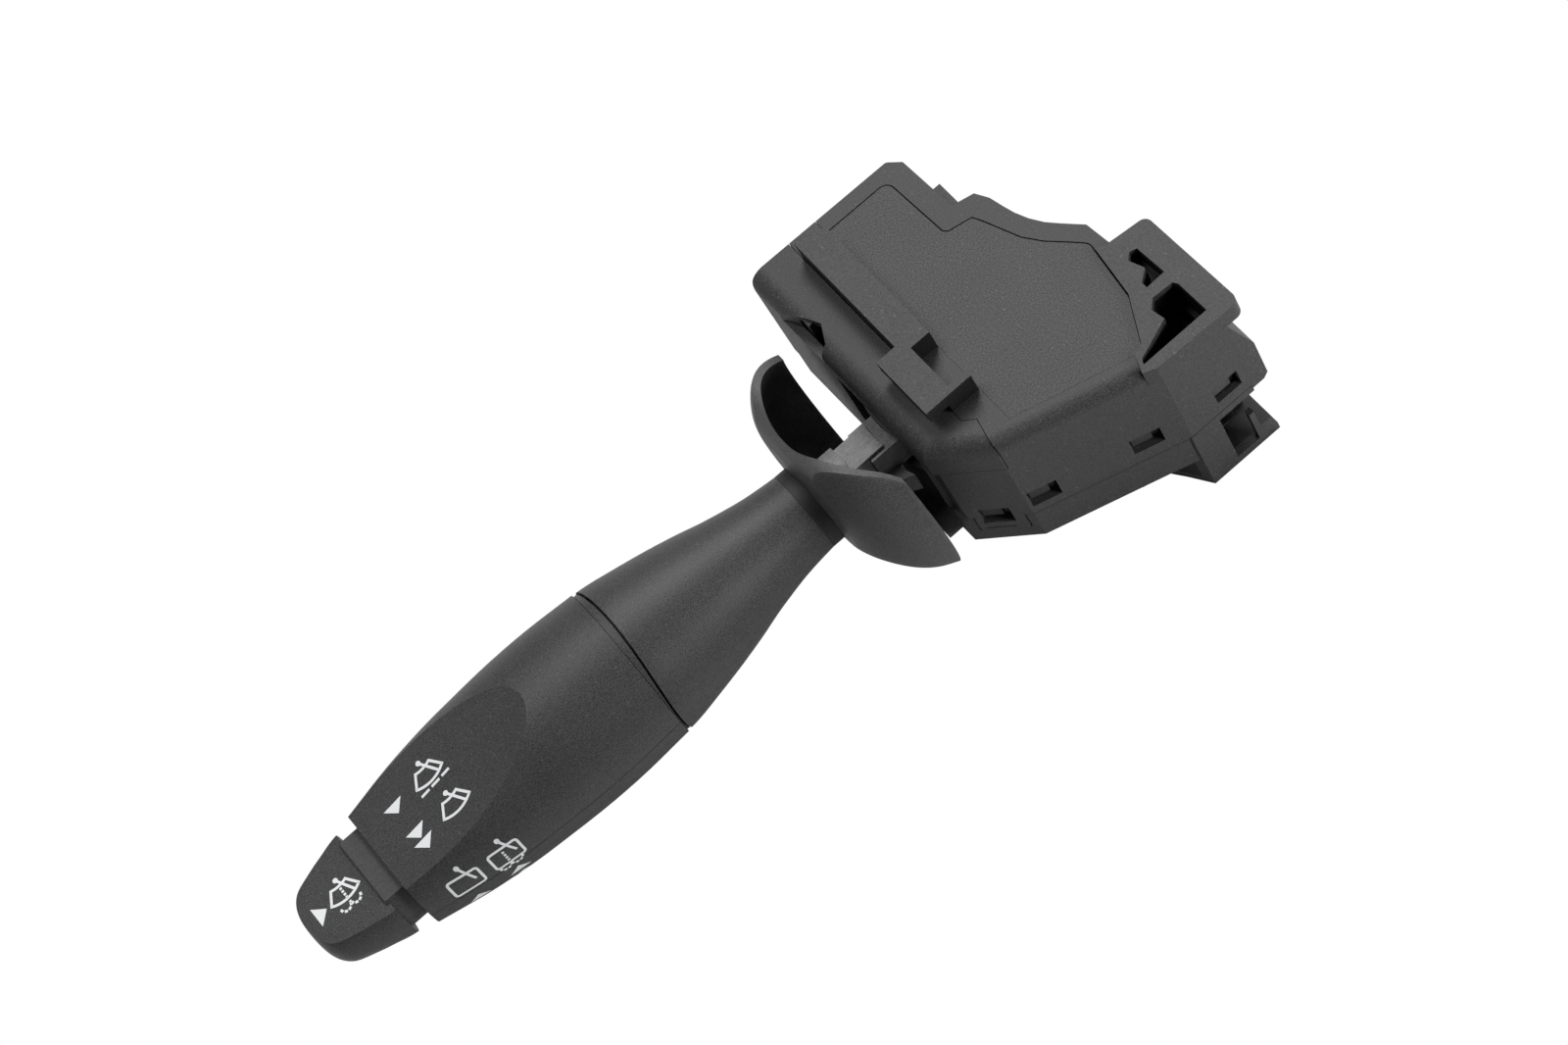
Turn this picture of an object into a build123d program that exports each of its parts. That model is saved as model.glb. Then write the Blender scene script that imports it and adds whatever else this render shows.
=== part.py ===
from build123d import *
import os

# Combination stalk switch in millimetres. The origin is where the upright swing axis meets the flat
# panel, X runs from the tip of the stalk toward the housing and Z points up on the rail side.

os.makedirs("parts", exist_ok=True)

# Clearances
SEAT = 0.05        # between pieces that are fixed to each other
RUN = 0.06         # radial clearance of a shaft in its bore
SEAM = 0.27        # visible line round the side frame
FRONT_GAP = 0.14   # visible line round the front cover

# Levels of the housing
PANEL_Z = 0.0
RAIL_TOP = 6.0
PLATE_T = 1.6
FRAME_T = 3.7
BLOCK_TOP = 1.0
FRONT_DEPTH = 9.0
COVER_BOTTOM = -28.5
FLAP_BOTTOM = -34.0
BASE_TOP = COVER_BOTTOM - 0.2
FLOOR_TOP = -36.0
BASE_BOTTOM = -38.2
BASE_INSET = 0.2
SOCKET_BOTTOM = -48.9
CAP_BOTTOM = -29.9
WALL = 2.0
LATCH_T = 1.2

# Outline of the housing walls in plan, counter-clockwise from the +Y corner of the lever side
A = (-18.3, 38.3)
B = (-17.8, -16.8)
C = (-7.0, -26.2)
D = (25.0, -36.4)
E = (40.0, -36.4)
F = (40.0, -10.2)
COLUMN = [(35.8, -9.3), (35.2, -2.7), (32.0, 1.2), (30.0, 3.8), (28.4, 6.8), (27.3, 9.8), (26.6, 12.9),
          (26.0, 16.0), (24.5, 19.1), (19.8, 20.3), (19.2, 35.2), (16.8, 37.7)]
OUTLINE = [A, B, C, D, E, F] + COLUMN

# Flat panel inside the thin line, and the end block outside it
RAIL_X = (-7.6, -1.0)
PANEL = [(RAIL_X[1] + SEAT, 34.2), (RAIL_X[1] + SEAT, -23.6), (25.4, -31.4), (30.9, -20.6), (32.9, -6.3),
         (30.5, -3.3), (27.2, 0.6), (24.7, 4.6), (21.7, 13.2), (20.8, 15.2), (15.8, 16.3), (15.0, 17.2),
         (14.2, 34.0)]
PANEL_R = {PANEL[2]: 2.0, PANEL[4]: 2.0, PANEL[-1]: 2.0}
END_X = 44.0
BLOCK_LIP = 0.7
BLOCK_EDGE = [(24.0, -31.0), (22.3, -35.5), (24.9, -36.7), (39.0, -37.2), (END_X + BLOCK_LIP, -37.2),
              (END_X, -10.5), (37.9, -9.8)]
CORNERS = {A: 1.1, COLUMN[-1]: 1.2, BLOCK_EDGE[4]: 1.8, BLOCK_EDGE[5]: 1.8, BLOCK_EDGE[2]: 0.9, **PANEL_R}
POCKET_SMALL = [(36.9, -14.0), (38.4, -14.5), (38.8, -22.2), (34.4, -22.3), (34.4, -20.8), (36.8, -18.8),
                (35.6, -15.3)]
POCKET_LARGE = [(38.4, -25.1), (39.0, -26.2), (39.1, -34.3), (23.6, -34.3), (24.2, -33.1), (32.5, -29.8),
                (32.0, -26.6), (33.7, -24.8)]
COVER_EDGE_R = 3.2
FRONT_EDGE_R = 4.0

# Rail strip and hook on the panel
RAIL_Y = (-1.5, 33.5)
RAIL_END_DROP = 2.0
HOOK_X = (-12.2, -5.6)
HOOK_Y = (-14.6, 1.0)
HOOK_LEG_T = 1.5
HOOK_LEG_END = -1.2
HOOK_T = 3.2

# Latch windows: wall from corner to corner, distances along it, levels
WINDOWS = [(B, C, (3.9, 10.3), (-31.0, -25.2)),
           (C, D, (0.7, 6.9), (-26.1, -20.6)),
           (C, D, (22.4, 28.8), (-25.0, -19.8)),
           (D, E, (7.4, 13.4), (-25.2, -20.1))]

# Lever and its axes
AXIS_Z = -16.0
SWING_R = 3.0
TRUNNION_R = 2.0
NECK = 4.0
ROOT_R = 20.6
RIB_HALF = 3.2
FAN_HALF = (4.2, 7.8)
STEM_R = 6.0
TUBE_R = 5.0
ROD_R = 1.5
BUTTON_TRAVEL = 3.0
SLOT_Y = (-9.6, 7.0)
SLOT_Z = (-20.8, -8.8)
BEZEL_R = (17.0, 18.6)
BEZEL_Y = 13.0

# Stalk outline: distance along X and radius
HUB_X = -37.0
HUB_R = 8.7
BOWL = [(HUB_X, 8.7, 0.0), (-36.5, 13.8, 1.8), (-35.5, 17.05, 2.4), (-33.5, 20.45, 2.3), (-30.9, 23.45, 1.9),
        (-28.4, 25.2, 1.3), (-25.8, 26.1, 0.6), (-23.3, 26.6, 0.0)]
BOWL_LEAN = (0.854, 0.517)
BOWL_T = 1.6
SCOOP = [(-42.0, 7.0), (-38.6, 8.2), (-36.9, 10.2), (-36.1, 13.4), (-35.1, 16.2), (-33.3, 18.0),
         (-31.0, 18.3), (-28.3, 17.5), (-25.9, 16.2), (-24.3, 14.7), (-23.3, 13.5), (-18.0, 9.0)]
SCOOP_TILT = -0.181
SLEEVE_START = -39.8
SLEEVE = [(SLEEVE_START, 8.7), (-44.0, 9.1), (-48.0, 9.65), (-52.0, 10.45), (-56.0, 11.35), (-60.0, 12.45),
          (-64.0, 13.45), (-68.0, 14.35), (-72.0, 15.15), (-76.0, 15.9), (-80.0, 16.6), (-84.0, 16.95)]
BARREL = [(-82.0, 17.0), (-88.0, 17.35), (-92.0, 17.6), (-100.0, 17.8), (-108.0, 17.6), (-114.0, 17.25),
          (-120.0, 16.85), (-126.0, 16.2), (-132.0, 15.35), (-138.0, 14.2), (-143.0, 13.2)]
BARREL_END = -143.0
GAP_X = -81.1
GAP = 2.2
GAP_SLIT = 0.5
SLEEVE_ARC_R = 70.0
BARREL_ARC_R = 290.0
BARREL_T = 1.8
GAP_RING_R = BARREL[0][1] - BARREL_T
GAP_BAND_R = BARREL[0][1] - 0.4
GAP_RING_X = (-91.0, -78.0)
SKIRT_R = 10.45
SKIRT_FLAT = 6.6
KNOB_START = -147.1
KNOB_END = -162.8
KNOB = [(KNOB_START, 12.0), (-150.0, 11.45), (-152.0, 10.9), (-154.0, 10.4), (-156.0, 9.8), (-158.0, 9.2),
        (-160.0, 8.3), (-161.6, 6.6), (-162.5, 4.4), (KNOB_END, 2.0)]
FACET = [(-143.4, 8.3), (-123.0, 12.3), (-103.0, 17.75)]
KNOB_FACET = [(-164.0, 4.6), (-146.0, 5.9)]
TUBE_END = -140.0
SEAM_HALF = 0.08

# Carrier ring and the sliders behind it
CHEEK_Y = (7.3, 9.8)
CHEEK_X = 5.5
RING_Z = (-25.5, -6.5)
RING_T = 2.5
TAIL_END = 18.0
PIN_X = 16.0
SWING_PIN_R = 1.5
PLUNGER_X = 12.0
PLUNGER_R = 1.5
TRACK_TOP = -28.2
TRACK_R = (9.5, 14.5)
DETENTS = (-6.0, 0.0, 7.0, 14.0)
BOARD_X = (14.0, 37.2)
BOARD_Z = (-13.0, -11.4)
TERMINAL_Y = (-30.4, -27.2, -24.0, -20.8)
LEVER_TAIL_X = (5.0, 12.0)
LEVER_TAIL_Y = (4.2, 6.8)
LEVER_TAIL_Z = (-17.5, -14.5)

# Socket under the end
SOCKET_X = (24.7, 40.0)
SOCKET_Y = (-36.4, -14.0)
SOCKET_TOP = BASE_TOP
SOCKET_PLAN = [(24.7, SOCKET_Y[0]), (SOCKET_X[1], SOCKET_Y[0]), (SOCKET_X[1], SOCKET_Y[1]),
               (20.0, SOCKET_Y[1]), (20.0, -28.5), (21.6, -31.0)]
CAVITY_X = 28.0
CAVITY_Y = (-34.4, -16.0)
CAVITY_Z = (-46.7, -30.7)
SOCKET_LIP = 1.4
SIDE_GAP_X = 31.2


def block(x, y, z):
    """Return the box between three pairs of limits."""
    middle = Pos(sum(x) / 2, sum(y) / 2, sum(z) / 2)
    return middle * Box(x[1] - x[0], y[1] - y[0], z[1] - z[0])


def flat(points):
    """Return the plan face with these corners, rounded where the corner has a radius."""
    face = make_face(Polyline(*points, close=True))
    for corner, radius in CORNERS.items():
        if corner in points:
            face = fillet(face.vertices().sort_by_distance(Vector(*corner, 0))[0], radius)
    return face


def rise(face, z):
    """Return the plan face extruded between two levels."""
    return extrude(Pos(0, 0, z[0]) * face, z[1] - z[0], dir=(0, 0, 1))


def prism(points, z):
    """Return the upright prism with these corners."""
    return rise(flat(points), z)


def grow(points, amount):
    """Return the plan face grown by the amount, or shrunk where it is negative."""
    return offset(flat(points), amount=amount, kind=Kind.INTERSECTION)


def post(x, y, r, z):
    """Return an upright round post."""
    return Pos(x, y, sum(z) / 2) * Cylinder(r, z[1] - z[0])


def bar_x(r, x, y=0.0, z=AXIS_Z):
    """Return a round bar along X."""
    return Pos(sum(x) / 2, y, z) * Rot(0, 90, 0) * Cylinder(r, x[1] - x[0])


def bar_y(r, y, x=0.0, z=AXIS_Z):
    """Return a round bar along Y."""
    return Pos(x, sum(y) / 2, z) * Rot(90, 0, 0) * Cylinder(r, y[1] - y[0])


def side_prism(points, y):
    """Return a prism along Y whose corners are given as X and height over the lever axis."""
    face = Plane.XZ * flat([(x, AXIS_Z + h) for x, h in points])
    return extrude(Pos(0, y[0], 0) * face, y[1] - y[0], dir=(0, 1, 0))


def turned(points, curve=()):
    """Return the body turned about the lever axis from X and radius points, part of it a smooth curve."""
    lift = [(x, AXIS_Z + r) for x, r in points]
    if curve:
        smooth = [(x, AXIS_Z + r) for x, r in curve]
        edges = [Spline(*smooth), Polyline(smooth[-1], *lift, smooth[0])]
        face = make_face(edges)
    else:
        face = make_face(Polyline(*lift, close=True))
    return revolve(Plane.XZ * face, Axis((0, 0, AXIS_Z), (1, 0, 0)), 360)


def wall_frame(a, b):
    """Return the location of a wall with X along it and Y into the housing."""
    return Plane(origin=(a[0], a[1], 0), x_dir=(b[0] - a[0], b[1] - a[1], 0), z_dir=(0, 0, 1)).location


def sector(radii, half_y, z, side=-1):
    """Return a curved plate about the swing axis, cut to a half width."""
    ring = post(0, 0, radii[1], z) - post(0, 0, radii[0], z)
    reach = (-radii[1] - 1, 0) if side < 0 else (0, radii[1] + 1)
    return ring & block(reach, (-half_y, half_y), z)


def coil(x, y, r, wire, z, turns):
    """Return an upright spring of square wire."""
    height = z[1] - z[0] - wire
    path = Helix(height / turns, height, r)
    start = Plane(origin=path @ 0, z_dir=path % 0)
    return Pos(x, y, z[0] + wire / 2) * sweep(start * Rectangle(wire, wire), path=path, is_frenet=True)


def front_plan():
    """Return the plan region of the separate front cover."""
    return [(A[0] - 2, A[1] + 2), (A[0] - 2, C[1] - 4), (-6.4, C[1] - 4), (-6.6, C[1] + 1.4), (-5.3, -19.0),
            (RAIL_X[0], -17.1), (RAIL_X[0], A[1] + 2)]


def frame_plan():
    """Return the plan region of the side frame and end block, the panel included."""
    return [(RAIL_X[1] + 0.1, A[1] - 0.3), (RAIL_X[1] + 0.1, 34.0), (10.0, 0.0)] + BLOCK_EDGE + COLUMN


def shell_outline(z, edges, radius):
    """Return the outline prism with the top edges over the named wall lines rounded."""
    sharp = make_face(Polyline(*OUTLINE, close=True))
    body = rise(sharp, z)
    chosen = []
    for a, b in edges:
        middle = Vector((a[0] + b[0]) / 2, (a[1] + b[1]) / 2, z[1])
        chosen.append(body.edges().sort_by_distance(middle)[0])
    return fillet(chosen, radius) & prism(OUTLINE, (z[0] - 1, z[1] + 1))


def main_cover():
    """Return the upper shell with rail strip, hook, windows and flap."""
    body = shell_outline((COVER_BOTTOM, PANEL_Z), [(C, D)], COVER_EDGE_R)
    inner = grow(OUTLINE, -WALL)
    ceiling = PANEL_Z - FRAME_T - 1.9
    body -= rise(inner, (COVER_BOTTOM - 1, ceiling))
    body -= block((-12, 11), (-19, 31), (ceiling - 1, -3.6))
    frame_gap = grow([(RAIL_X[1], A[1] + 3), (RAIL_X[1], 30.0), (10.0, 0.0), (23.9, -31.0), (22.2, -35.5),
                      (22.2, -42.0), (48.0, -42.0), (48.0, A[1] + 3)], 0)
    body -= rise(frame_gap, (PANEL_Z - FRAME_T - SEAT, 1))
    body -= rise(grow(PANEL, SEAT), (PANEL_Z - PLATE_T - SEAT, 1))
    body -= prism(front_plan(), (-FRONT_DEPTH, 1))
    body -= prism(POCKET_LARGE, (-8, 0))
    body += post(0, 0, 5.5, (-6.0, -3.6)) - post(0, 0, SWING_R + RUN, (-7.0, -3.6))
    body += rail_and_hook()
    flap_at = wall_frame(B, C)
    body += flap_at * block((2.6, 12.4), (0, WALL), (FLAP_BOTTOM, COVER_BOTTOM + 1))
    for a, b, along, z in WINDOWS:
        body -= wall_frame(a, b) * block(along, (-1, WALL + 0.1), z)
    body -= flap_at * block((3.9, 9.8), (-1, 1.2), (FLAP_BOTTOM + 0.7, FLAP_BOTTOM + 1.1))
    body -= block((A[0] - 1, B[0] + WALL + 0.1), (-BEZEL_Y, BEZEL_Y), (COVER_BOTTOM - 1, -8.0))
    body += block((18.6, 22.1), (24.0, 29.8), (COVER_BOTTOM, -6.0))
    body -= block((A[0] - 1, B[0] + 1.0), (B[1] - 1, -BEZEL_Y - 0.3), (COVER_BOTTOM - 1, -FRONT_DEPTH))
    return body


def rail_and_hook():
    """Return the raised strip with the hook in front of it."""
    low = PANEL_Z - PLATE_T
    strip = prism([(RAIL_X[0], RAIL_Y[0]), (RAIL_X[1], RAIL_Y[0]), (RAIL_X[1], RAIL_Y[1] - RAIL_END_DROP),
                   (RAIL_X[0], RAIL_Y[1])], (low, RAIL_TOP))
    bar = block((RAIL_X[0], HOOK_X[1]), HOOK_Y, (low, RAIL_TOP))
    bar += block((HOOK_X[0], RAIL_X[0]), HOOK_Y, (RAIL_TOP - HOOK_T, RAIL_TOP))
    leg = block((RAIL_X[0], HOOK_LEG_END), (HOOK_Y[0], HOOK_Y[0] + HOOK_LEG_T), (low, RAIL_TOP))
    return strip + bar + leg


def front_cover():
    """Return the moulding over the lever side with its rounded edge and wedge pocket."""
    body = shell_outline((-FRONT_DEPTH + FRONT_GAP, PANEL_Z), [(A, B), (B, C)], FRONT_EDGE_R)
    body &= rise(grow(front_plan(), -FRONT_GAP), (-FRONT_DEPTH - 1, 1))
    body -= rise(grow(OUTLINE, -WALL), (-FRONT_DEPTH - 1, PANEL_Z - WALL))
    body -= prism([(-19.0, 31.0), (-19.0, 15.4), (-16.0, 15.6), (-13.9, 19.5)], (-5.2, 1))
    body -= block((A[0] - 1, -14.5), (-BEZEL_Y - 0.3, BEZEL_Y + 0.3), (-FRONT_DEPTH - 1, -7.9))
    for y in (21.5, 30.0):
        body += block((-15.8, -14.6), (y, y + 5), (-13.5, -1.0))
    return body


def side_frame():
    """Return the frame round the panel with the column arc and the end block."""
    ring = prism(frame_plan(), (PANEL_Z - FRAME_T, PANEL_Z))
    raised = prism([(10.0, 0.0)] + BLOCK_EDGE + [(35.4, -9.5), (33.0, -8.6)], (PANEL_Z - FRAME_T, BLOCK_TOP))
    body = ring + raised
    body -= rise(grow(PANEL, SEAM), (PANEL_Z - FRAME_T - 1, BLOCK_TOP + 1))
    for pocket in (POCKET_SMALL, POCKET_LARGE):
        body -= prism(pocket, (PANEL_Z - FRAME_T - 1, BLOCK_TOP + 1))
    return body.solids().sort_by(SortBy.VOLUME)[-1]


def end_cap():
    """Return the cap over the end wall with its sloped top."""
    x0 = E[0] + SEAT
    top = PANEL_Z - FRAME_T - SEAT
    span = (E[1] + 0.1, -12.0)

    def profile(inset):
        """Return the cap's side outline, inset from its outer faces."""
        back = x0 - (1 if inset else 0)
        low = CAP_BOTTOM - AXIS_Z
        return [(back, top - 1.0 - inset - AXIS_Z), (x0 + 0.4, top - 1.0 - inset - AXIS_Z),
                (END_X - inset, -16.7 - inset - AXIS_Z), (END_X - inset, low + 1.2 + inset / 2),
                (END_X - 1.2 - inset / 2, low + inset), (back, low + inset)]

    body = side_prism(profile(0), span)
    body -= side_prism(profile(1.4), (span[0] + 1.4, span[1] - 1.4))
    return body


def latch_tabs(windows, foot):
    """Return the spring tabs that reach up inside the cover, each with a nub in its window."""
    tabs = []
    for a, b, along, z in windows:
        here = wall_frame(a, b)
        inside = WALL + SEAT
        nub_end = along[0] + 0.7 * (along[1] - along[0])
        nub_low = z[0] + 0.3 * (z[1] - z[0])
        tab = block((along[0] + 0.5, along[1] - 0.5), (inside, inside + LATCH_T), (foot, z[1] - 0.4))
        nub = block((along[0] + 0.3, nub_end), (0.8, inside + 0.2), (nub_low, z[1] - 0.5))
        tabs.append(here * (tab + nub))
    return tabs


def base_housing():
    """Return the lower shell with its boss, posts, guides and latch tabs."""
    outer = grow(OUTLINE, -BASE_INSET)
    body = rise(outer, (BASE_BOTTOM, BASE_TOP)) - rise(grow(OUTLINE, -BASE_INSET - WALL), (FLOOR_TOP, BASE_TOP + 1))
    body -= wall_frame(B, C) * block((2.3, 12.7), (-2, WALL + 0.3), (FLAP_BOTTOM - 0.3, BASE_TOP + 1))
    body -= block((A[0] - 1, -14.0), (-BEZEL_Y - 0.5, BEZEL_Y + 0.5), (FLOOR_TOP + SEAT, BASE_TOP + 1))
    body += block((-20.9, -15.6), (-12.8, 16.0), (BASE_BOTTOM, BASE_BOTTOM + 1.5))
    body += block((13.0, 19.6), (-31.4, -27.4), (BASE_BOTTOM - 1.8, BASE_BOTTOM + 1.0))
    body += post(0, 0, 6.0, (FLOOR_TOP - 0.5, -29.0))
    body -= post(0, 0, SWING_R + RUN, (-34.8, -28.0))
    for tab in latch_tabs(WINDOWS[:3], FLOOR_TOP - 1):
        body += tab
    for x, y in ((20.0, 6.0), (29.5, -7.0), (16.5, -24.0)):
        body += post(x, y, 2.0, (FLOOR_TOP - 0.5, BOARD_Z[0] - SEAT))
    body += slider_guides()
    body -= rise(grow(SOCKET_PLAN, 0.15), (BASE_BOTTOM - 1, BASE_TOP + 1))
    return body


def slider_guides():
    """Return the posts that guide the pull slider and the wash slider."""
    pull = block((7.6, 14.6), (12.0, 14.0), (FLOOR_TOP - 0.5, -13.0))
    for x in ((7.6, 9.25), (12.95, 14.6)):
        pull += block(x, (10.3, 14.0), (FLOOR_TOP - 0.5, -13.0))
    wash = block((17.0, 25.0), (-6.6, 3.6), (FLOOR_TOP - 0.5, -18.95))
    wash -= block((16.0, 26.0), (-3.6, 1.4), (FLOOR_TOP, -21.0))
    for y in ((-6.6, -5.35), (2.35, 3.6)):
        wash += block((17.0, 25.0), y, (-19.5, -14.2))
    return pull + wash


def connector_housing():
    """Return the socket with its floor lip, side window and partition rib."""
    body = prism(SOCKET_PLAN, (SOCKET_BOTTOM, SOCKET_TOP))
    body += block((SOCKET_X[1] - 1, SOCKET_X[1] + SOCKET_LIP), SOCKET_Y, (SOCKET_BOTTOM, CAVITY_Z[0]))
    body -= block((CAVITY_X, SOCKET_X[1] + 5), CAVITY_Y, CAVITY_Z)
    body -= block((SIDE_GAP_X, SOCKET_X[1] + 1), (SOCKET_Y[0] - 1, CAVITY_Y[0] + 1), CAVITY_Z)
    body += block((36.8, 38.0), (SOCKET_Y[0], SOCKET_Y[0] + 1.4), (CAVITY_Z[0] - 1, -37.0))
    body += block((CAVITY_X - 0.5, SOCKET_X[1]), (-27.0, -25.4), (CAVITY_Z[0] - 0.5, -43.4))
    for tab in latch_tabs(WINDOWS[3:], SOCKET_TOP - 0.5):
        body += tab
    for blade in terminal_pieces(SEAT):
        body -= blade
    return body


def terminal_pieces(gap=0.0):
    """Return the angled blades of the socket, grown by a gap where they serve as cutters."""
    pieces = []
    for y in TERMINAL_Y:
        for x, z in ((22.4, -42.4), (24.4, -36.0)):
            blade = block((x - gap, 36.0 + gap), (y - 1.1 - gap, y + 1.1 + gap), (z - 0.4 - gap, z + 0.4 + gap))
            pin = block((x - gap, x + 0.8 + gap), (y - 0.4 - gap, y + 0.4 + gap), (z - gap, -10.4))
            pieces.append(blade + pin)
    return pieces


def connector_terminals():
    """Return all the blades as one named set."""
    return Compound(children=terminal_pieces())


def slot_bezel():
    """Return the curved shield with the lever slot and its two side flanges."""
    z = (FLOOR_TOP + 2 * SEAT, -8.1)
    body = sector(BEZEL_R, BEZEL_Y - 0.4, z)
    flange_x = B[0] + WALL + SEAT
    for side in (-1, 1):
        y = sorted((side * (BEZEL_Y - 2.6), side * (BEZEL_Y + 2.2)))
        body += block((flange_x, flange_x + 1.5), y, (BASE_TOP + 0.3, z[1] - 3.0))
        y = sorted((side * (BEZEL_Y - 2.6), side * (BEZEL_Y - 0.4)))
        body += block((flange_x, -12.0), y, (BASE_TOP + 0.3, z[1] - 3.0))
    return body - block((-25, -10), SLOT_Y, SLOT_Z)


def board_plan():
    """Return the plan face of the contact plate inside the walls."""
    return grow(OUTLINE, -WALL - 0.5) & Pos(sum(BOARD_X) / 2, -10.75) * Rectangle(BOARD_X[1] - BOARD_X[0], 43.5)


def contact_plate():
    """Return the fixed plate with its guide rail and terminal holes."""
    body = rise(board_plan(), BOARD_Z)
    body += block((19.2, 21.2), (-11.5, 10.0), (BOARD_Z[1] - 0.2, -8.4))
    body += block((18.6, 21.2), (-11.5, 10.0), (-9.1, -8.4))
    for blade in terminal_pieces(SEAT):
        body -= blade
    return body


def contact_tracks():
    """Return the brass strips on the fixed plate."""
    strips = []
    for y, end in ((-4.0, 30.5), (0.0, 27.6), (4.0, 25.0)):
        strips.append(block((22.0, end), (y - 0.9, y + 0.9), (BOARD_Z[1] + 0.01, BOARD_Z[1] + 0.21)))
    for y in TERMINAL_Y[2:]:
        strips.append(block((26.0, 33.0), (y - 0.7, y + 0.7), (BOARD_Z[1] + 0.01, BOARD_Z[1] + 0.21)))
    return Compound(children=strips)


def detent_track():
    """Return the sector with one groove for each click of the swing."""
    body = sector(TRACK_R, 8.0, (FLOOR_TOP + SEAT, TRACK_TOP), side=1)
    for angle in DETENTS:
        groove = extrude(Plane.YZ * flat([(-1.45, 0.05), (1.45, 0.05), (0, -0.85)]), 20, dir=(1, 0, 0))
        body -= Rot(0, 0, angle) * Pos(2, 0, TRACK_TOP) * groove
    return body


def swing_carrier():
    """Return the ring that turns on the upright axis, with its tail, pin and plunger boss."""
    body = block((-CHEEK_X, CHEEK_X), (-CHEEK_Y[1], CHEEK_Y[1]), RING_Z)
    body -= block((-CHEEK_X - 1, CHEEK_X + 1), (-CHEEK_Y[0], CHEEK_Y[0]), (RING_Z[0] + RING_T, RING_Z[1] - RING_T))
    body += post(0, 0, SWING_R, (RING_Z[1] - 0.5, -3.8))
    body += post(0, 0, SWING_R, (-34.5, RING_Z[0] + 0.5))
    body += post(0, 0, 4.6, (-28.9, RING_Z[0] + 0.5))
    body += block((CHEEK_X - 0.5, TAIL_END), (-2.2, 2.2), (RING_Z[1] - RING_T, RING_Z[1]))
    body += post(PIN_X, 0, SWING_PIN_R, (-11.0, RING_Z[1] - 1))
    body += block((CHEEK_X - 0.5, 11.0), (-2.8, 2.8), (-26.5, -24.2))
    body += post(PLUNGER_X, 0, 3.0, (-26.5, -21.6))
    body += block((CHEEK_X - 0.5, 8.4), (4.0, 7.0), (RING_Z[0], RING_Z[0] + RING_T))
    body -= post(PLUNGER_X, 0, PLUNGER_R + RUN, (-27.0, -22.4))
    body -= bar_y(TRUNNION_R + 0.02, (-CHEEK_Y[1] - 1, CHEEK_Y[1] + 1))
    return body


def trunnion_pins():
    """Return the two pins that the lever tips on."""
    return Compound(children=[bar_y(TRUNNION_R, (4.5, CHEEK_Y[1])), bar_y(TRUNNION_R, (-CHEEK_Y[1], -4.5))])


def swing_plunger():
    """Return the click plunger with its conical tip."""
    tip = TRACK_TOP + 0.06
    body = post(PLUNGER_X, 0, PLUNGER_R, (tip + 1.0, -25.0))
    return body + Pos(PLUNGER_X, 0, tip + 0.5) * Cone(0.35, PLUNGER_R, 1.0)


def plunger_spring():
    """Return the spring above the click plunger."""
    return coil(PLUNGER_X, 0, 1.05, 0.35, (-24.98, -22.42), 3)


def pull_spring():
    """Return the spring under the lever's tail."""
    return coil(7.1, 5.5, 1.1, 0.4, (RING_Z[0] + RING_T + 0.02, LEVER_TAIL_Z[0] - 0.02), 4)


def lever_core():
    """Return the pivot block, neck, fan and long stem in one moulding."""
    body = block((-CHEEK_X, CHEEK_X), (-7.0, 7.0), (AXIS_Z - 5.5, AXIS_Z + 5.5))
    body += block(LEVER_TAIL_X, LEVER_TAIL_Y, LEVER_TAIL_Z)
    rib = side_prism([(-31.0, 4.6), (-19.0, 5.0), (-19.0, -9.6), (-31.0, -5.0)], (-RIB_HALF, RIB_HALF))
    fan = side_prism([(-31.0, -1.8), (-19.0, -3.4), (-19.0, -9.6), (-31.0, -5.0)], (-10, 10))
    fan &= prism([(-31.0, -FAN_HALF[0]), (-19.0, -FAN_HALF[1]), (-19.0, FAN_HALF[1]), (-31.0, FAN_HALF[0])],
                 (-40, 0))
    body += (rib + fan) - post(0, 0, ROOT_R, (-40, 0))
    body += block((-24.0, -CHEEK_X + 0.5), (-NECK, NECK), (AXIS_Z - NECK, AXIS_Z + NECK))
    body += bar_x(STEM_R, (HUB_X, -28.0))
    body += bar_x(TUBE_R, (TUBE_END, HUB_X + 1))
    hollow = Solid.make_loft([
        Wire.make_polygon([(-2.0, y, AXIS_Z + z) for y, z in ((-3, -2.8), (3, -2.8), (3, 2.8), (-3, 2.8))]),
        Wire.make_polygon([(6.0, y, AXIS_Z + z) for y, z in ((-4, -4), (4, -4), (4, 4), (-4, 4))])], True)
    body -= hollow
    body -= bar_x(ROD_R + 0.1, (TUBE_END - 1, 0))
    body -= bar_y(TRUNNION_R + RUN, (-8, 8))
    return body


def bowl_loft(profile):
    """Return the body through circles given as X, radius and sideways lean of the middle."""
    rings = []
    for x, r, lean in profile:
        middle = (x, lean * BOWL_LEAN[0], AXIS_Z + lean * BOWL_LEAN[1])
        rings.append(Wire.make_circle(r, Plane(origin=middle, x_dir=(0, 1, 0), z_dir=(1, 0, 0))))
    return Solid.make_loft(rings, False)


def inner_bowl():
    """Return the bowl profile moved inward by the wall thickness."""
    inner = []
    for k, (x, r, lean) in enumerate(BOWL):
        a = BOWL[min(k, len(BOWL) - 2)]
        b = BOWL[min(k, len(BOWL) - 2) + 1]
        run, climb = b[0] - a[0], b[1] - a[1]
        length = (run ** 2 + climb ** 2) ** 0.5
        inner.append((x + BOWL_T * climb / length, r - BOWL_T * run / length, lean))
    return inner


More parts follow.
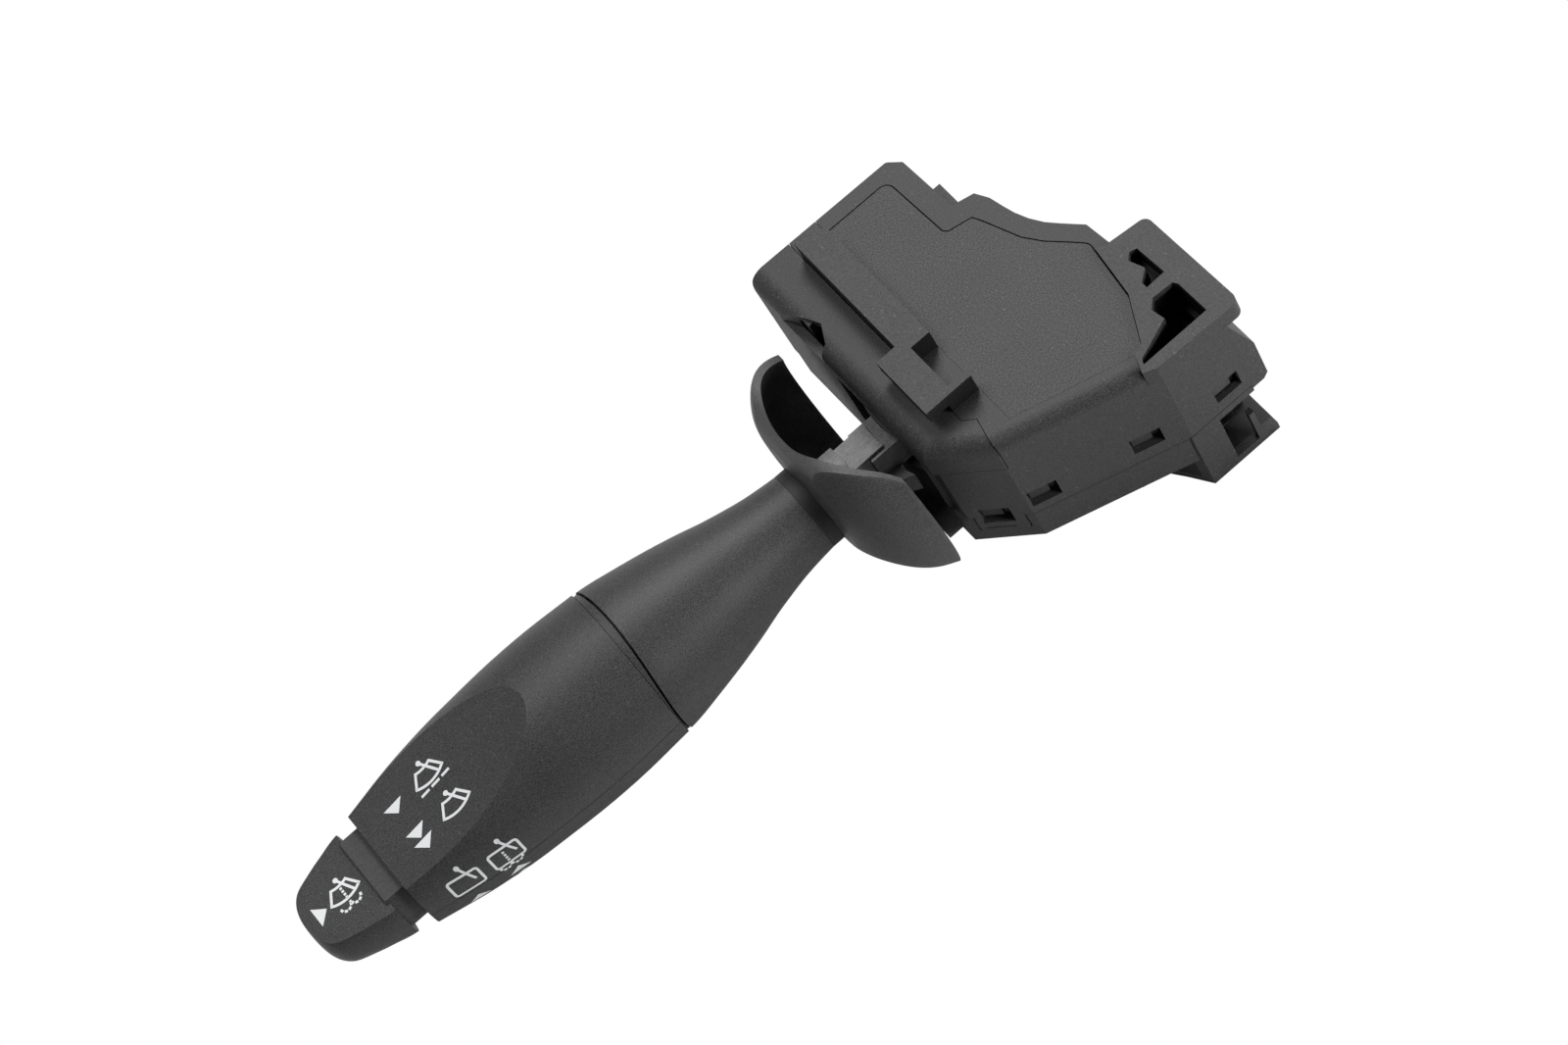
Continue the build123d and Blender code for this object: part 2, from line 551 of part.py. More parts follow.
def dust_shroud():
    """Return the scooped bowl round the lever root."""
    body = bowl_loft(BOWL) - bowl_loft(inner_bowl())
    body -= bar_x(STEM_R + SEAT, (HUB_X - 1, HUB_X + 3))
    edge = Spline(*[(x, AXIS_Z + h) for x, h in SCOOP])
    low, high = SCOOP[0], SCOOP[-1]
    rest = Polyline((high[0], AXIS_Z + high[1]), (high[0], AXIS_Z + 60), (low[0], AXIS_Z + 60),
                    (low[0], AXIS_Z + low[1]))
    face = Plane.XZ * make_face([edge, rest])
    return body - extrude(face, 60, dir=(0, 1, SCOOP_TILT), both=True)


def collar_ring():
    """Return the narrow ring between shroud and sleeve."""
    x = (SLEEVE_START + SEAT, HUB_X - SEAT)
    return bar_x(HUB_R, x) - bar_x(TUBE_R + SEAT, (x[0] - 1, x[1] + 1))


def sleeve():
    """Return the tapering sleeve with its curved end."""
    inner = [(-86.0, SLEEVE[-1][1]), (-86.0, SLEEVE[-1][1] - BARREL_T), (-76.0, 14.0), (-64.0, 11.5),
             (-52.0, 8.4), (-44.0, 7.1), (-42.0, TUBE_R + SEAT), (SLEEVE_START, TUBE_R + SEAT)]
    body = turned(inner, SLEEVE)
    return body - gap_arc(SLEEVE_ARC_R)


def gap_arc(radius, back=0.0):
    """Return the upright cylinder whose front reaches the gap, moved back along the lever."""
    return post(GAP_X - back - radius, 0, radius, (-50, 20))


def barrel_ring():
    """Return the ring that bridges the gap between sleeve and barrel, with its raised band."""
    x0, x1 = GAP_RING_X
    band = turned([(x0 + 1, GAP_RING_R - 1.0), (x0 + 1, GAP_BAND_R), (x1, GAP_BAND_R), (x1, GAP_RING_R - 1.0)])
    band &= gap_arc(SLEEVE_ARC_R - GAP_SLIT, GAP_SLIT)
    band -= gap_arc(BARREL_ARC_R + 2 * SEAT, GAP - 2 * SEAT)
    return band + turned([(x0, GAP_RING_R), (x1, GAP_RING_R - 1.4), (x1, GAP_RING_R - 2.8), (x0 + 3, GAP_RING_R - 1.6),
                   (x0 + 3, TUBE_R + SEAT), (x0, TUBE_R + SEAT)])


def facet_cut(points, drop):
    """Return the cutter above the shallow facet, lowered by a wall thickness."""
    mids = [(x, AXIS_Z + h - drop) for x, h in points]
    if len(mids) > 2:
        edge = ThreePointArc(*mids)
    else:
        edge = Line(*mids)
    first, last = mids[0], mids[-1]
    slope = (last[1] - mids[-2][1]) / (last[0] - mids[-2][0])
    far = (last[0] + 12, last[1] + 12 * slope * 1.2)
    near = (first[0] - 6, first[1] - 1.0)
    rest = Polyline(last, far, (far[0], AXIS_Z + 40), (near[0], AXIS_Z + 40), near, first)
    return extrude(Plane.XZ * make_face([edge, rest]), 30, dir=(0, 1, 0), both=True)


def barrel_shell():
    """Return the whole barrel before it is split."""
    core = turned([(BARREL_END, 0), (-82.0, 0)], BARREL) & gap_arc(BARREL_ARC_R, GAP)
    core -= facet_cut(FACET, 0)
    inside = turned([(-141.2, 0), (-80.0, 0), (-80.0, BARREL[0][1] - BARREL_T)],
                    [(x, r - BARREL_T) for x, r in BARREL[:-1]] + [(-141.2, 11.8)])
    inside -= facet_cut(FACET, BARREL_T)
    body = core - inside
    body -= bar_x(SKIRT_R + 0.3, (BARREL_END - 1, -140.0)) & \
        block((-150, -130), (-20, 20), (AXIS_Z - 20, AXIS_Z + SKIRT_FLAT + 0.3))
    for x in (-101.0, -126.0):
        web = turned([(x, 18.0), (x + 1.6, 18.0), (x + 1.6, TUBE_R + SEAT), (x, TUBE_R + SEAT)])
        body += web & inside
    return body


def barrel_half(side):
    """Return the upper or the lower half of the barrel."""
    body = barrel_shell()
    low = AXIS_Z + SEAM_HALF if side > 0 else AXIS_Z - 30
    high = AXIS_Z + 30 if side > 0 else AXIS_Z - SEAM_HALF
    return body & block((-150, -75), (-30, 30), (low, high))


def wash_button():
    """Return the knob with its skirt and the socket for the rod."""
    body = turned([(KNOB_END, 0), (KNOB_START, 0)], KNOB)
    body -= facet_cut(KNOB_FACET, 0)
    body -= turned([(KNOB_START + 1, 0), (KNOB_START + 1, 8.9), (-155.0, 7.4), (-155.0, 0)]) & \
        block((-156, -140), (-20, 20), (-60, AXIS_Z + 3.6))
    skirt = bar_x(SKIRT_R, (KNOB_START - 0.5, -136.6)) & block((-150, -130), (-20, 20), (-60, AXIS_Z + SKIRT_FLAT))
    body += skirt - (bar_x(8.9, (KNOB_START - 1, -136)) & block((-150, -130), (-20, 20), (-60, AXIS_Z + 5.4)))
    body += bar_x(3.0, (-155.5, -149.0)) - bar_x(ROD_R + SEAT, (-154.0, -148))
    body -= bar_x(ROD_R + SEAT, (-154.0, -148.0))
    return body


def push_rod():
    """Return the rod from the knob to the wash slider with a coned end."""
    body = bar_x(ROD_R, (-153.9, -2.2))
    return body + Pos(-1.85, 0, AXIS_Z) * Rot(0, 90, 0) * Cone(ROD_R, 0.8, 0.7)


def swing_slider():
    """Return the slider that follows the swing pin."""
    body = block((13.0, 19.0), (-6.0, 6.0), (BOARD_Z[1] + 0.1, -9.3))
    body -= block((13.8, 17.9), (-SWING_PIN_R - 0.15, SWING_PIN_R + 0.15), (-12, -9))
    return body


def swing_bridges():
    """Return the brass contacts on top of the swing slider."""
    return Compound(children=[block((14.0, 17.6), (y - 0.7, y + 0.7), (-9.29, -9.12)) for y in (-4.2, 4.2)])


def pull_slider():
    """Return the slider that follows the lever's tail."""
    body = block((9.6, 12.6), (2.4, 11.6), (-19.6, -13.5))
    return body - block((9.0, 13.0), (1.0, 10.4), (LEVER_TAIL_Z[0] - 0.25, LEVER_TAIL_Z[1] + 0.35))


def pull_bridges():
    """Return the brass leaf on the pull slider."""
    return block((12.61, 12.8), (4.0, 9.0), (-13.3 - 0.9, -13.5))


def wash_slider():
    """Return the slider that the push rod moves."""
    body = block((8.6, 24.0), (-5.0, 2.0), (-18.6, -13.4))
    body += bar_x(1.6, (-0.3, 9.0))
    return body + Pos(-0.65, 0, AXIS_Z) * Rot(0, 90, 0) * Cone(0.9, 1.6, 0.7)


def wash_bridge():
    """Return the brass contact on the wash slider."""
    return block((15.0, 22.0), (-3.6, 0.6), (-13.39, -13.2))


def button_spring():
    """Return the knob's spring at its pressed length, seated on the knob's inner boss."""
    length = TUBE_END - BUTTON_TRAVEL - 0.2 + 149.0
    return Pos(-149.0 + SEAT, 0, AXIS_Z) * Rot(0, 90, 0) * coil(0, 0, 2.4, 0.5, (0, length), 4)


PARTS = {
    "main_cover": main_cover,
    "front_cover": front_cover,
    "top_plate": lambda: prism(PANEL, (PANEL_Z - PLATE_T, PANEL_Z)),
    "side_frame": side_frame,
    "end_cap": end_cap,
    "base_housing": base_housing,
    "connector_housing": connector_housing,
    "connector_terminals": connector_terminals,
    "slot_bezel": slot_bezel,
    "contact_plate": contact_plate,
    "contact_tracks": contact_tracks,
    "detent_track": detent_track,
    "swing_carrier": swing_carrier,
    "trunnion_pins": trunnion_pins,
    "swing_plunger": swing_plunger,
    "plunger_spring": plunger_spring,
    "pull_spring": pull_spring,
    "lever_core": lever_core,
    "dust_shroud": dust_shroud,
    "collar_ring": collar_ring,
    "sleeve": sleeve,
    "barrel_ring": barrel_ring,
    "barrel_top": lambda: barrel_half(1),
    "barrel_bottom": lambda: barrel_half(-1),
    "wash_button": wash_button,
    "push_rod": push_rod,
    "button_spring": button_spring,
    "swing_slider": swing_slider,
    "swing_bridges": swing_bridges,
    "pull_slider": pull_slider,
    "pull_bridges": pull_bridges,
    "wash_slider": wash_slider,
    "wash_bridge": wash_bridge,
}

for node, make in PARTS.items():
    shape = make()
    solids = shape.solids()
    print(node, len(solids), "solid(s)", round(sum(s.volume for s in solids), 1), "mm3")
    export_step(shape, f"parts/{node}.step")
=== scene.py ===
import logging
from contextlib import contextmanager
from dataclasses import dataclass
from enum import Enum
from math import asin, cos, hypot, pi, radians, sin
from typing import Dict, Iterator, List, Sequence, Tuple, Union

import bpy
from mathutils import Matrix, Vector


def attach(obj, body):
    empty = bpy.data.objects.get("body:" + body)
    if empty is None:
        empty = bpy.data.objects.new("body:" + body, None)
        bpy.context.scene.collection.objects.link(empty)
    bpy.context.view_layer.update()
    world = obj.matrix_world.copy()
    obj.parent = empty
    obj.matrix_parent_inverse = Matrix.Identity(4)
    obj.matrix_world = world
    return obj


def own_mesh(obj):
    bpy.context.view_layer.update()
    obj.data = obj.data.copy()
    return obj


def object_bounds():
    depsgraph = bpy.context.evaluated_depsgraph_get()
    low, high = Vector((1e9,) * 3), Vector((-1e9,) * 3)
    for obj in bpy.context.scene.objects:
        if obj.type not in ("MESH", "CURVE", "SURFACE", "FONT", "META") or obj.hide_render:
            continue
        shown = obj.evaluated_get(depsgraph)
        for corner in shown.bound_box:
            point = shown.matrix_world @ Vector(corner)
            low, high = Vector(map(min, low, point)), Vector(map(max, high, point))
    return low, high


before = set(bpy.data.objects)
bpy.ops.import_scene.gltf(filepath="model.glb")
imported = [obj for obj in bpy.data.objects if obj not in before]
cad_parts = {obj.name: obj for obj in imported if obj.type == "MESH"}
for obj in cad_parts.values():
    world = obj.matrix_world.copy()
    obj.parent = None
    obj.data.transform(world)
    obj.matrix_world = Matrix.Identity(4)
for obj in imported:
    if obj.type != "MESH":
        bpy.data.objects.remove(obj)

Colour = Tuple[float, float, float]
Point = Tuple[float, float]
Place = Tuple[float, float, float]
Node = bpy.types.Node
Socket = bpy.types.NodeSocket
Value = Union[bpy.types.NodeSocket, float, Sequence[float]]

LOG = logging.getLogger("stalk_switch")
CAD_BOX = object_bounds()
MM = 0.001
# Height of the lever's axis, and a limit that lies beyond the housing on every side, in mm.
AXIS_Z = -16.0
FAR = 100.0

# Kinds of socket on a node group, and the factor and colour sockets of a Mix node by number.
VECTOR, COLOUR, NUMBER = "NodeSocketVector", "NodeSocketColor", "NodeSocketFloat"
MIX_FACTOR, MIX_A, MIX_B, MIX_RESULT = 0, 6, 7, 2

# Moulded grain: details and shares of the fine and broad noise, the broad one's scale per metre, how
# far they act, and the height of the bump in metres.
FINE_DETAIL = 3.0
BROAD_SCALE = 70.0
BROAD_DETAIL = 4.0
FINE_SHARE = 0.93
BROAD_SHARE = 0.07
NOISE_MEAN = 0.5
MOTTLE_GAIN = 4.0
ROUGH_SPREAD = 0.25
BUMP_HEIGHT = 0.00006
# Dust specks: their noise scale as a share of the grain's, and the noise values where they show.
DUST_SCALE = 0.45
DUST_DETAIL = 1.0
DUST_FROM = 0.7
DUST_FULL = 0.76
DUST_GAIN = 1.1

# Rubbed wear: its noise, and the noise values between which the patches come in.
WEAR_DETAIL = 6.0
WEAR_ROUGHNESS = 0.7
WEAR_FROM = 0.38
WEAR_FULL = 0.66

# Metal and ink: noise scales per metre, and how far lightness and roughness vary.
METAL_SCALE = 1800.0
METAL_DETAIL = 4.0
METAL_MOTTLE = 0.3
METAL_ROUGH_SPREAD = 0.2
INK_COLOUR = (0.92, 0.94, 0.95)
INK_SCALE = 2500.0
INK_MOTTLE = 0.1
INK_BASE = 0.93
INK_ROUGHNESS = 0.5

# Printed signs, in mm: stroke width, lift off the stalk, radius of the wiper's pivot, half an arrow's
# foot, and how far a dropped point has to have moved to count as landed.
STROKE = 0.54
INK_LIFT = 0.04
PIVOT_R = 0.55
ARROW_HALF = 2.3
LANDED = 1.0
# Thickness of the print and extra lift of crossing strokes, as shares of the lift.
INK_SKIN = 0.6
LAYER_RISE = 0.5
# Sides of the pivot, and how often the edges of each shape are divided.
PIVOT_SIDES = 20
WIPER_CUTS = 9
ARROW_CUTS = 7
POINTER_CUTS = 5
DASH_CUTS = 3
# The washer's jet: number of drops, and in mm a drop's length, how far below the split the last drop
# starts, the ends of the short stroke at the split and the radius of the two arcs.
JET_DROPS = 4
JET_DROP = 0.5
JET_GAP = 1.4
SPLIT_BELOW = 0.15
SPLIT_ABOVE = 0.3
SPRAY_R = 1.25
# The dotted arcs: drops in each, the first one's place and the step between them as shares of half a
# turn, and a drop's length as an angle in radians.
ARC_DROPS = 4
ARC_START = 0.06
ARC_STEP = 0.25
ARC_DROP = 0.55


class Grain(Enum):
    """Kinds of moulded surface, as the noise scale per metre."""

    SPARK = 3400.0
    FINE = 4200.0
    SATIN = 5200.0


@dataclass(frozen=True)
class Moulding:
    """A moulded plastic finish.

    Attributes:
        name: The material's name.
        colour: Its mean base colour.
        roughness: Its mean roughness.
        grain: The kind of surface.
        depth: The strength of its bump.
        mottle: How far its colour varies.
        sheen: Its specular level.
    """

    name: str
    colour: Colour
    roughness: float
    grain: Grain
    depth: float
    mottle: float = 0.12
    sheen: float = 0.35


@dataclass(frozen=True)
class Metal:
    """A plain metal finish.

    Attributes:
        name: The material's name.
        colour: Its mean base colour.
        roughness: Its mean roughness.
    """

    name: str
    colour: Colour
    roughness: float


HOUSING = Moulding("housing_moulding", (0.056, 0.056, 0.057), 0.58, Grain.SPARK, 0.7, 0.7)
PANEL = Moulding("panel_with_painted_shade", (0.062, 0.062, 0.063), 0.6, Grain.SPARK, 0.7, 1.1)
INNER = Moulding("inner_moulding", (0.03, 0.03, 0.03), 0.55, Grain.FINE, 0.3, 0.3)
STALK = Moulding("stalk_moulding", (0.053, 0.053, 0.054), 0.48, Grain.SATIN, 0.7, 1.0, 0.3)
SHROUD = Moulding("shroud_moulding", (0.085, 0.085, 0.085), 0.52, Grain.SATIN, 0.7, 0.9, 0.3)
ROOT = Moulding("root_moulding", (0.16, 0.16, 0.16), 0.5, Grain.FINE, 0.5, 0.7)
SEAL = Moulding("seal_moulding", (0.024, 0.024, 0.024), 0.6, Grain.FINE, 0.4, 0.5)
SLIDER = Moulding("slider_moulding", (0.46, 0.45, 0.42), 0.5, Grain.FINE, 0.15)
BOARD = Moulding("board_laminate", (0.03, 0.025, 0.018), 0.6, Grain.FINE, 0.2, 0.4)
STEEL = Metal("drawn_steel", (0.5, 0.51, 0.53), 0.32)
BRASS = Metal("rolled_brass", (0.7, 0.5, 0.2), 0.34)
TIN = Metal("dull_tin", (0.12, 0.115, 0.105), 0.45)


class Shader:
    """Adds nodes to one node tree."""

    def __init__(self, tree: bpy.types.NodeTree) -> None:
        """Keep the tree.

        Args:
            tree: The node tree of a material, world or group.
        """
        self.tree = tree

    def add(self, kind: str, **values: object) -> Node:
        """Add a node and set its attributes.

        Args:
            kind: The node's type name.
            **values: Attributes of the node.

        Returns:
            The new node.
        """
        node = self.tree.nodes.new(kind)
        for key, value in values.items():
            setattr(node, key, value)
        return node

    def link(self, source: Socket, target: Socket) -> None:
        """Join two sockets.

        Args:
            source: An output.
            target: An input.
        """
        self.tree.links.new(source, target)

    def feed(self, target: Socket, value: Value) -> None:
        """Link an output to an input, or set the input's own value.

        Args:
            target: The input.
            value: An output, a number or a row of numbers.
        """
        if isinstance(value, bpy.types.NodeSocket):
            self.link(value, target)
        else:
            target.default_value = value

    def place(self) -> Socket:
        """Return the object coordinates."""
        return self.add("ShaderNodeTexCoord").outputs["Object"]

    def math(self, operation: str, a: Value, b: Value = 0.0, c: Value = 0.0) -> Socket:
        """Work out a number.

        Args:
            operation: The kind of sum.
            a: Its first input.
            b: Its second input.
            c: Its third input.

        Returns:
            The result.
        """
        node = self.add("ShaderNodeMath", operation=operation)
        for index, value in enumerate((a, b, c)):
            self.feed(node.inputs[index], value)
        return node.outputs[0]

    def vector(self, operation: str, a: Value, b: Value) -> Socket:
        """Work out a vector.

        Args:
            operation: The kind of sum.
            a: Its first input.
            b: Its second input.

        Returns:
            The result.
        """
        node = self.add("ShaderNodeVectorMath", operation=operation)
        self.feed(node.inputs[0], a)
        self.feed(node.inputs[1], b)
        return node.outputs[0]

    def scaled(self, colour: Value, factor: Socket) -> Socket:
        """Return a colour times a factor.

        Args:
            colour: The colour.
            factor: What it is multiplied by.

        Returns:
            The result.
        """
        node = self.add("ShaderNodeVectorMath", operation="SCALE")
        self.feed(node.inputs[0], colour)
        self.link(factor, node.inputs["Scale"])
        return node.outputs[0]

    def split(self, vector: Socket) -> bpy.types.NodeOutputs:
        """Take a vector apart.

        Args:
            vector: The vector.

        Returns:
            Its parts, named X, Y and Z.
        """
        node = self.add("ShaderNodeSeparateXYZ")
        self.link(vector, node.inputs[0])
        return node.outputs

    def noise(self, where: Socket, scale: Value, detail: float = 2.0, roughness: float = 0.5) -> Socket:
        """Add a noise pattern.

        Args:
            where: The coordinates.
            scale: Its scale per metre.
            detail: How many finer layers it has.
            roughness: How strong the finer layers are.

        Returns:
            Its value.
        """
        node = self.add("ShaderNodeTexNoise")
        self.link(where, node.inputs["Vector"])
        self.feed(node.inputs["Scale"], scale)
        node.inputs["Detail"].default_value = detail
        node.inputs["Roughness"].default_value = roughness
        return node.outputs["Fac"]

    def ramp(self, value: Socket, low: Value, high: Value, top: Value = 1.0) -> Socket:
        """Map one value to 0, another to a top, and those between in proportion.

        Args:
            value: What is mapped.
            low: The value that gives 0.
            high: The value that gives the top.
            top: The top.

        Returns:
            The result.
        """
        node = self.add("ShaderNodeMapRange")
        self.link(value, node.inputs["Value"])
        for name, limit in (("From Min", low), ("From Max", high), ("To Max", top)):
            self.feed(node.inputs[name], limit)
        return node.outputs[0]

    def group(self, tree: bpy.types.NodeTree, inputs: Dict[str, Value]) -> Node:
        """Place a shared group.

        Args:
            tree: The group.
            inputs: What each of its inputs gets.

        Returns:
            The group's node.
        """
        node = self.add("ShaderNodeGroup", node_tree=tree)
        for name, value in inputs.items():
            self.feed(node.inputs[name], value)
        return node

    def camera_white(self, shader: Socket, white: Socket, out: Socket) -> None:
        """Let the camera see one shader and all other rays another.

        Args:
            shader: What the other rays meet.
            white: What the camera sees.
            out: The surface input of the tree's output.
        """
        path = self.add("ShaderNodeLightPath")
        mix = self.add("ShaderNodeMixShader")
        self.link(path.outputs["Is Camera Ray"], mix.inputs[0])
        self.link(shader, mix.inputs[1])
        self.link(white, mix.inputs[2])
        self.link(mix.outputs[0], out)


def new_group(name: str, inputs: Dict[str, str], outputs: Dict[str, str]) -> Tuple[Shader, Node, Node]:
    """Start a shared node group.

    Args:
        name: The group's name.
        inputs: Its inputs and their kinds.
        outputs: Its outputs and their kinds.

    Returns:
        A tool for its tree, the node that gives its inputs and the node that takes its outputs.
    """
    tree = bpy.data.node_groups.new(name, "ShaderNodeTree")
    for in_out, sockets in (("INPUT", inputs), ("OUTPUT", outputs)):
        for socket, kind in sockets.items():
            tree.interface.new_socket(socket, in_out=in_out, socket_type=kind)
    tool = Shader(tree)
    return tool, tool.add("NodeGroupInput"), tool.add("NodeGroupOutput")


def grain_group() -> bpy.types.NodeTree:
    """Build the shared group for moulded grain.

    Returns:
        The group, which gives a mottled colour with dust specks, a roughness and a bumped normal.
    """
    tool, given, result = new_group(
        "moulded_grain",
        {"Vector": VECTOR, "Colour": COLOUR, "Scale": NUMBER, "Depth": NUMBER, "Mottle": NUMBER,
         "Roughness": NUMBER},
        {"Colour": COLOUR, "Roughness": NUMBER, "Normal": VECTOR})
    where, scale = given.outputs["Vector"], given.outputs["Scale"]
    fine = tool.noise(where, scale, FINE_DETAIL)
    broad = tool.noise(where, BROAD_SCALE, BROAD_DETAIL)
    shade = tool.math("MULTIPLY_ADD", fine, FINE_SHARE, tool.math("MULTIPLY", broad, BROAD_SHARE))
    centred = tool.math("SUBTRACT", shade, NOISE_MEAN)
    dust = tool.noise(where, tool.math("MULTIPLY", scale, DUST_SCALE), DUST_DETAIL)
    specks = tool.ramp(dust, DUST_FROM, DUST_FULL, DUST_GAIN)
    reach = tool.math("MULTIPLY", given.outputs["Mottle"], MOTTLE_GAIN)
    factor = tool.math("MULTIPLY_ADD", centred, reach, tool.math("ADD", specks, 1.0))
    tool.link(tool.scaled(given.outputs["Colour"], factor), result.inputs["Colour"])
    rough = tool.math("MULTIPLY_ADD", centred, ROUGH_SPREAD, given.outputs["Roughness"])
    tool.link(rough, result.inputs["Roughness"])
    bump = tool.add("ShaderNodeBump")
    bump.inputs["Distance"].default_value = BUMP_HEIGHT
    tool.link(given.outputs["Depth"], bump.inputs["Strength"])
    tool.link(fine, bump.inputs["Height"])
    tool.link(bump.outputs[0], result.inputs["Normal"])
    return tool.tree


def wear_group() -> bpy.types.NodeTree:
    """Build the shared group for rubbed and scratched plastic.

    Returns:
        The group, which mixes the worn colour in by patches where the mask is high.
    """
    tool, given, result = new_group(
        "rubbed_wear",
        {"Vector": VECTOR, "Colour": COLOUR, "Worn": COLOUR, "Mask": NUMBER, "Scale": NUMBER},
        {"Colour": COLOUR})
    noise = tool.noise(given.outputs["Vector"], given.outputs["Scale"], WEAR_DETAIL, WEAR_ROUGHNESS)
    amount = tool.math("MULTIPLY", tool.ramp(noise, WEAR_FROM, WEAR_FULL), given.outputs["Mask"])
    mix = tool.add("ShaderNodeMix", data_type="RGBA")
    tool.link(amount, mix.inputs[MIX_FACTOR])
    tool.link(given.outputs["Colour"], mix.inputs[MIX_A])
    tool.link(given.outputs["Worn"], mix.inputs[MIX_B])
    tool.link(mix.outputs[MIX_RESULT], result.inputs["Colour"])
    return tool.tree


def painted_shade_group() -> bpy.types.NodeTree:
    """Build the shared group for painted shade inside pockets and slits.

    Returns:
        The group, which darkens the colour inside a box of object coordinates.
    """
    tool, given, result = new_group(
        "painted_deep_shade",
        {"Vector": VECTOR, "Colour": COLOUR, "Low": VECTOR, "High": VECTOR, "Fade": NUMBER,
         "Depth": NUMBER},
        {"Colour": COLOUR})
    over_low = tool.vector("SUBTRACT", given.outputs["Vector"], given.outputs["Low"])
    under_high = tool.vector("SUBTRACT", given.outputs["High"], given.outputs["Vector"])
    inside = tool.split(tool.vector("MINIMUM", over_low, under_high))
    least = tool.math("MINIMUM", tool.math("MINIMUM", inside["X"], inside["Y"]), inside["Z"])
    dark = tool.ramp(least, 0.0, given.outputs["Fade"], given.outputs["Depth"])
    left = tool.math("SUBTRACT", 1.0, dark)
    tool.link(tool.scaled(given.outputs["Colour"], left), result.inputs["Colour"])
    return tool.tree


@dataclass(frozen=True)
class PaintedShadeBox:
    """A box in mm inside which a piece gets painted shade.

    Attributes:
        low: Its lowest corner.
        high: Its highest corner.
        fade: How far inside its sides the dark is full.
        depth: How much of the colour the dark takes away.
    """

    low: Place
    high: Place
    fade: float
    depth: float


@dataclass(frozen=True)
class WearMask:
    """Where the plastic is rubbed: beyond a place along X, in mm.

    Attributes:
        x_from: Where the wear starts.
        x_full: Where it is full, and it stays full beyond.
        colour: The rubbed colour.
        scale: The noise scale of its patches, per metre.
        strength: How much of it shows.
        stretch: Factor on X for the patches. Below 1 they are drawn out along X.
    """

    x_from: float
    x_full: float
    colour: Colour
    scale: float
    strength: float
    stretch: float = 1.0

    def drawn(self, tool: Shader, where: Socket) -> Socket:
        """Draw the pattern out along X where the wear is scratches.

        Args:
            tool: The material's tool.
            where: The object coordinates.

        Returns:
            The coordinates of the pattern.
        """
        if self.stretch == 1.0:
            return where
        return tool.vector("MULTIPLY", where, (self.stretch, 1.0, 1.0))

    def build(self, tool: Shader, where: Socket) -> Socket:
        """Add the nodes of the mask.

        Args:
            tool: The material's tool.
            where: The object coordinates.

        Returns:
            The mask, from 0 to the strength.
        """
        return tool.ramp(tool.split(where)["X"], self.x_from * MM, self.x_full * MM, self.strength)


@dataclass(frozen=True)
class RimWear(WearMask):
    """Wear on the shroud's edge next to the housing and along its scooped edge.

    Attributes:
        edge: The scooped edge as X and height over the lever's axis where Y is 0.
        top: The height that the curve's own 1 stands for.
        tilt: How much the edge's height changes per unit of Y.
        width: How far from the edge the rubbed line reaches, in mm.
    """

    edge: Tuple[Point, ...] = ((-36.1, 13.4), (-35.1, 16.2), (-33.3, 18.0), (-31.0, 18.3),
                               (-28.3, 17.5), (-25.9, 16.2), (-23.3, 13.5))
    top: float = 20.0
    tilt: float = -0.181
    width: float = 0.7

    def build(self, tool: Shader, where: Socket) -> Socket:
        """Add the nodes of the mask.

        Args:
            tool: The material's tool.
            where: The object coordinates.

        Returns:
            The mask, from 0 to the strength.
        """
        parts = tool.split(where)
        start, end = self.edge[0][0], self.edge[-1][0]
        span = (end - start) * MM
        curve = tool.add("ShaderNodeFloatCurve")
        points = curve.mapping.curves[0].points
        while len(points) < len(self.edge):
            points.new(0.5, 0.5)
        for point, (x, height) in zip(points, self.edge):
            point.location = ((x - start) / (end - start), height / self.top)
        curve.mapping.update()
        along = tool.math("MULTIPLY_ADD", parts["X"], 1.0 / span, -start * MM / span)
        tool.link(along, curve.inputs["Value"])
        height = tool.math("MULTIPLY_ADD", parts["Y"], -self.tilt, parts["Z"])
        edge = tool.math("MULTIPLY_ADD", curve.outputs[0], self.top * MM, AXIS_Z * MM)
        off = tool.math("ABSOLUTE", tool.math("SUBTRACT", height, edge))
        line = tool.ramp(off, self.width * MM, self.width * MM * 0.5)
        ease = tool.ramp(parts["X"], start * MM, self.edge[1][0] * MM, self.strength)
        return tool.math("MAXIMUM", super().build(tool, where), tool.math("MULTIPLY", line, ease))


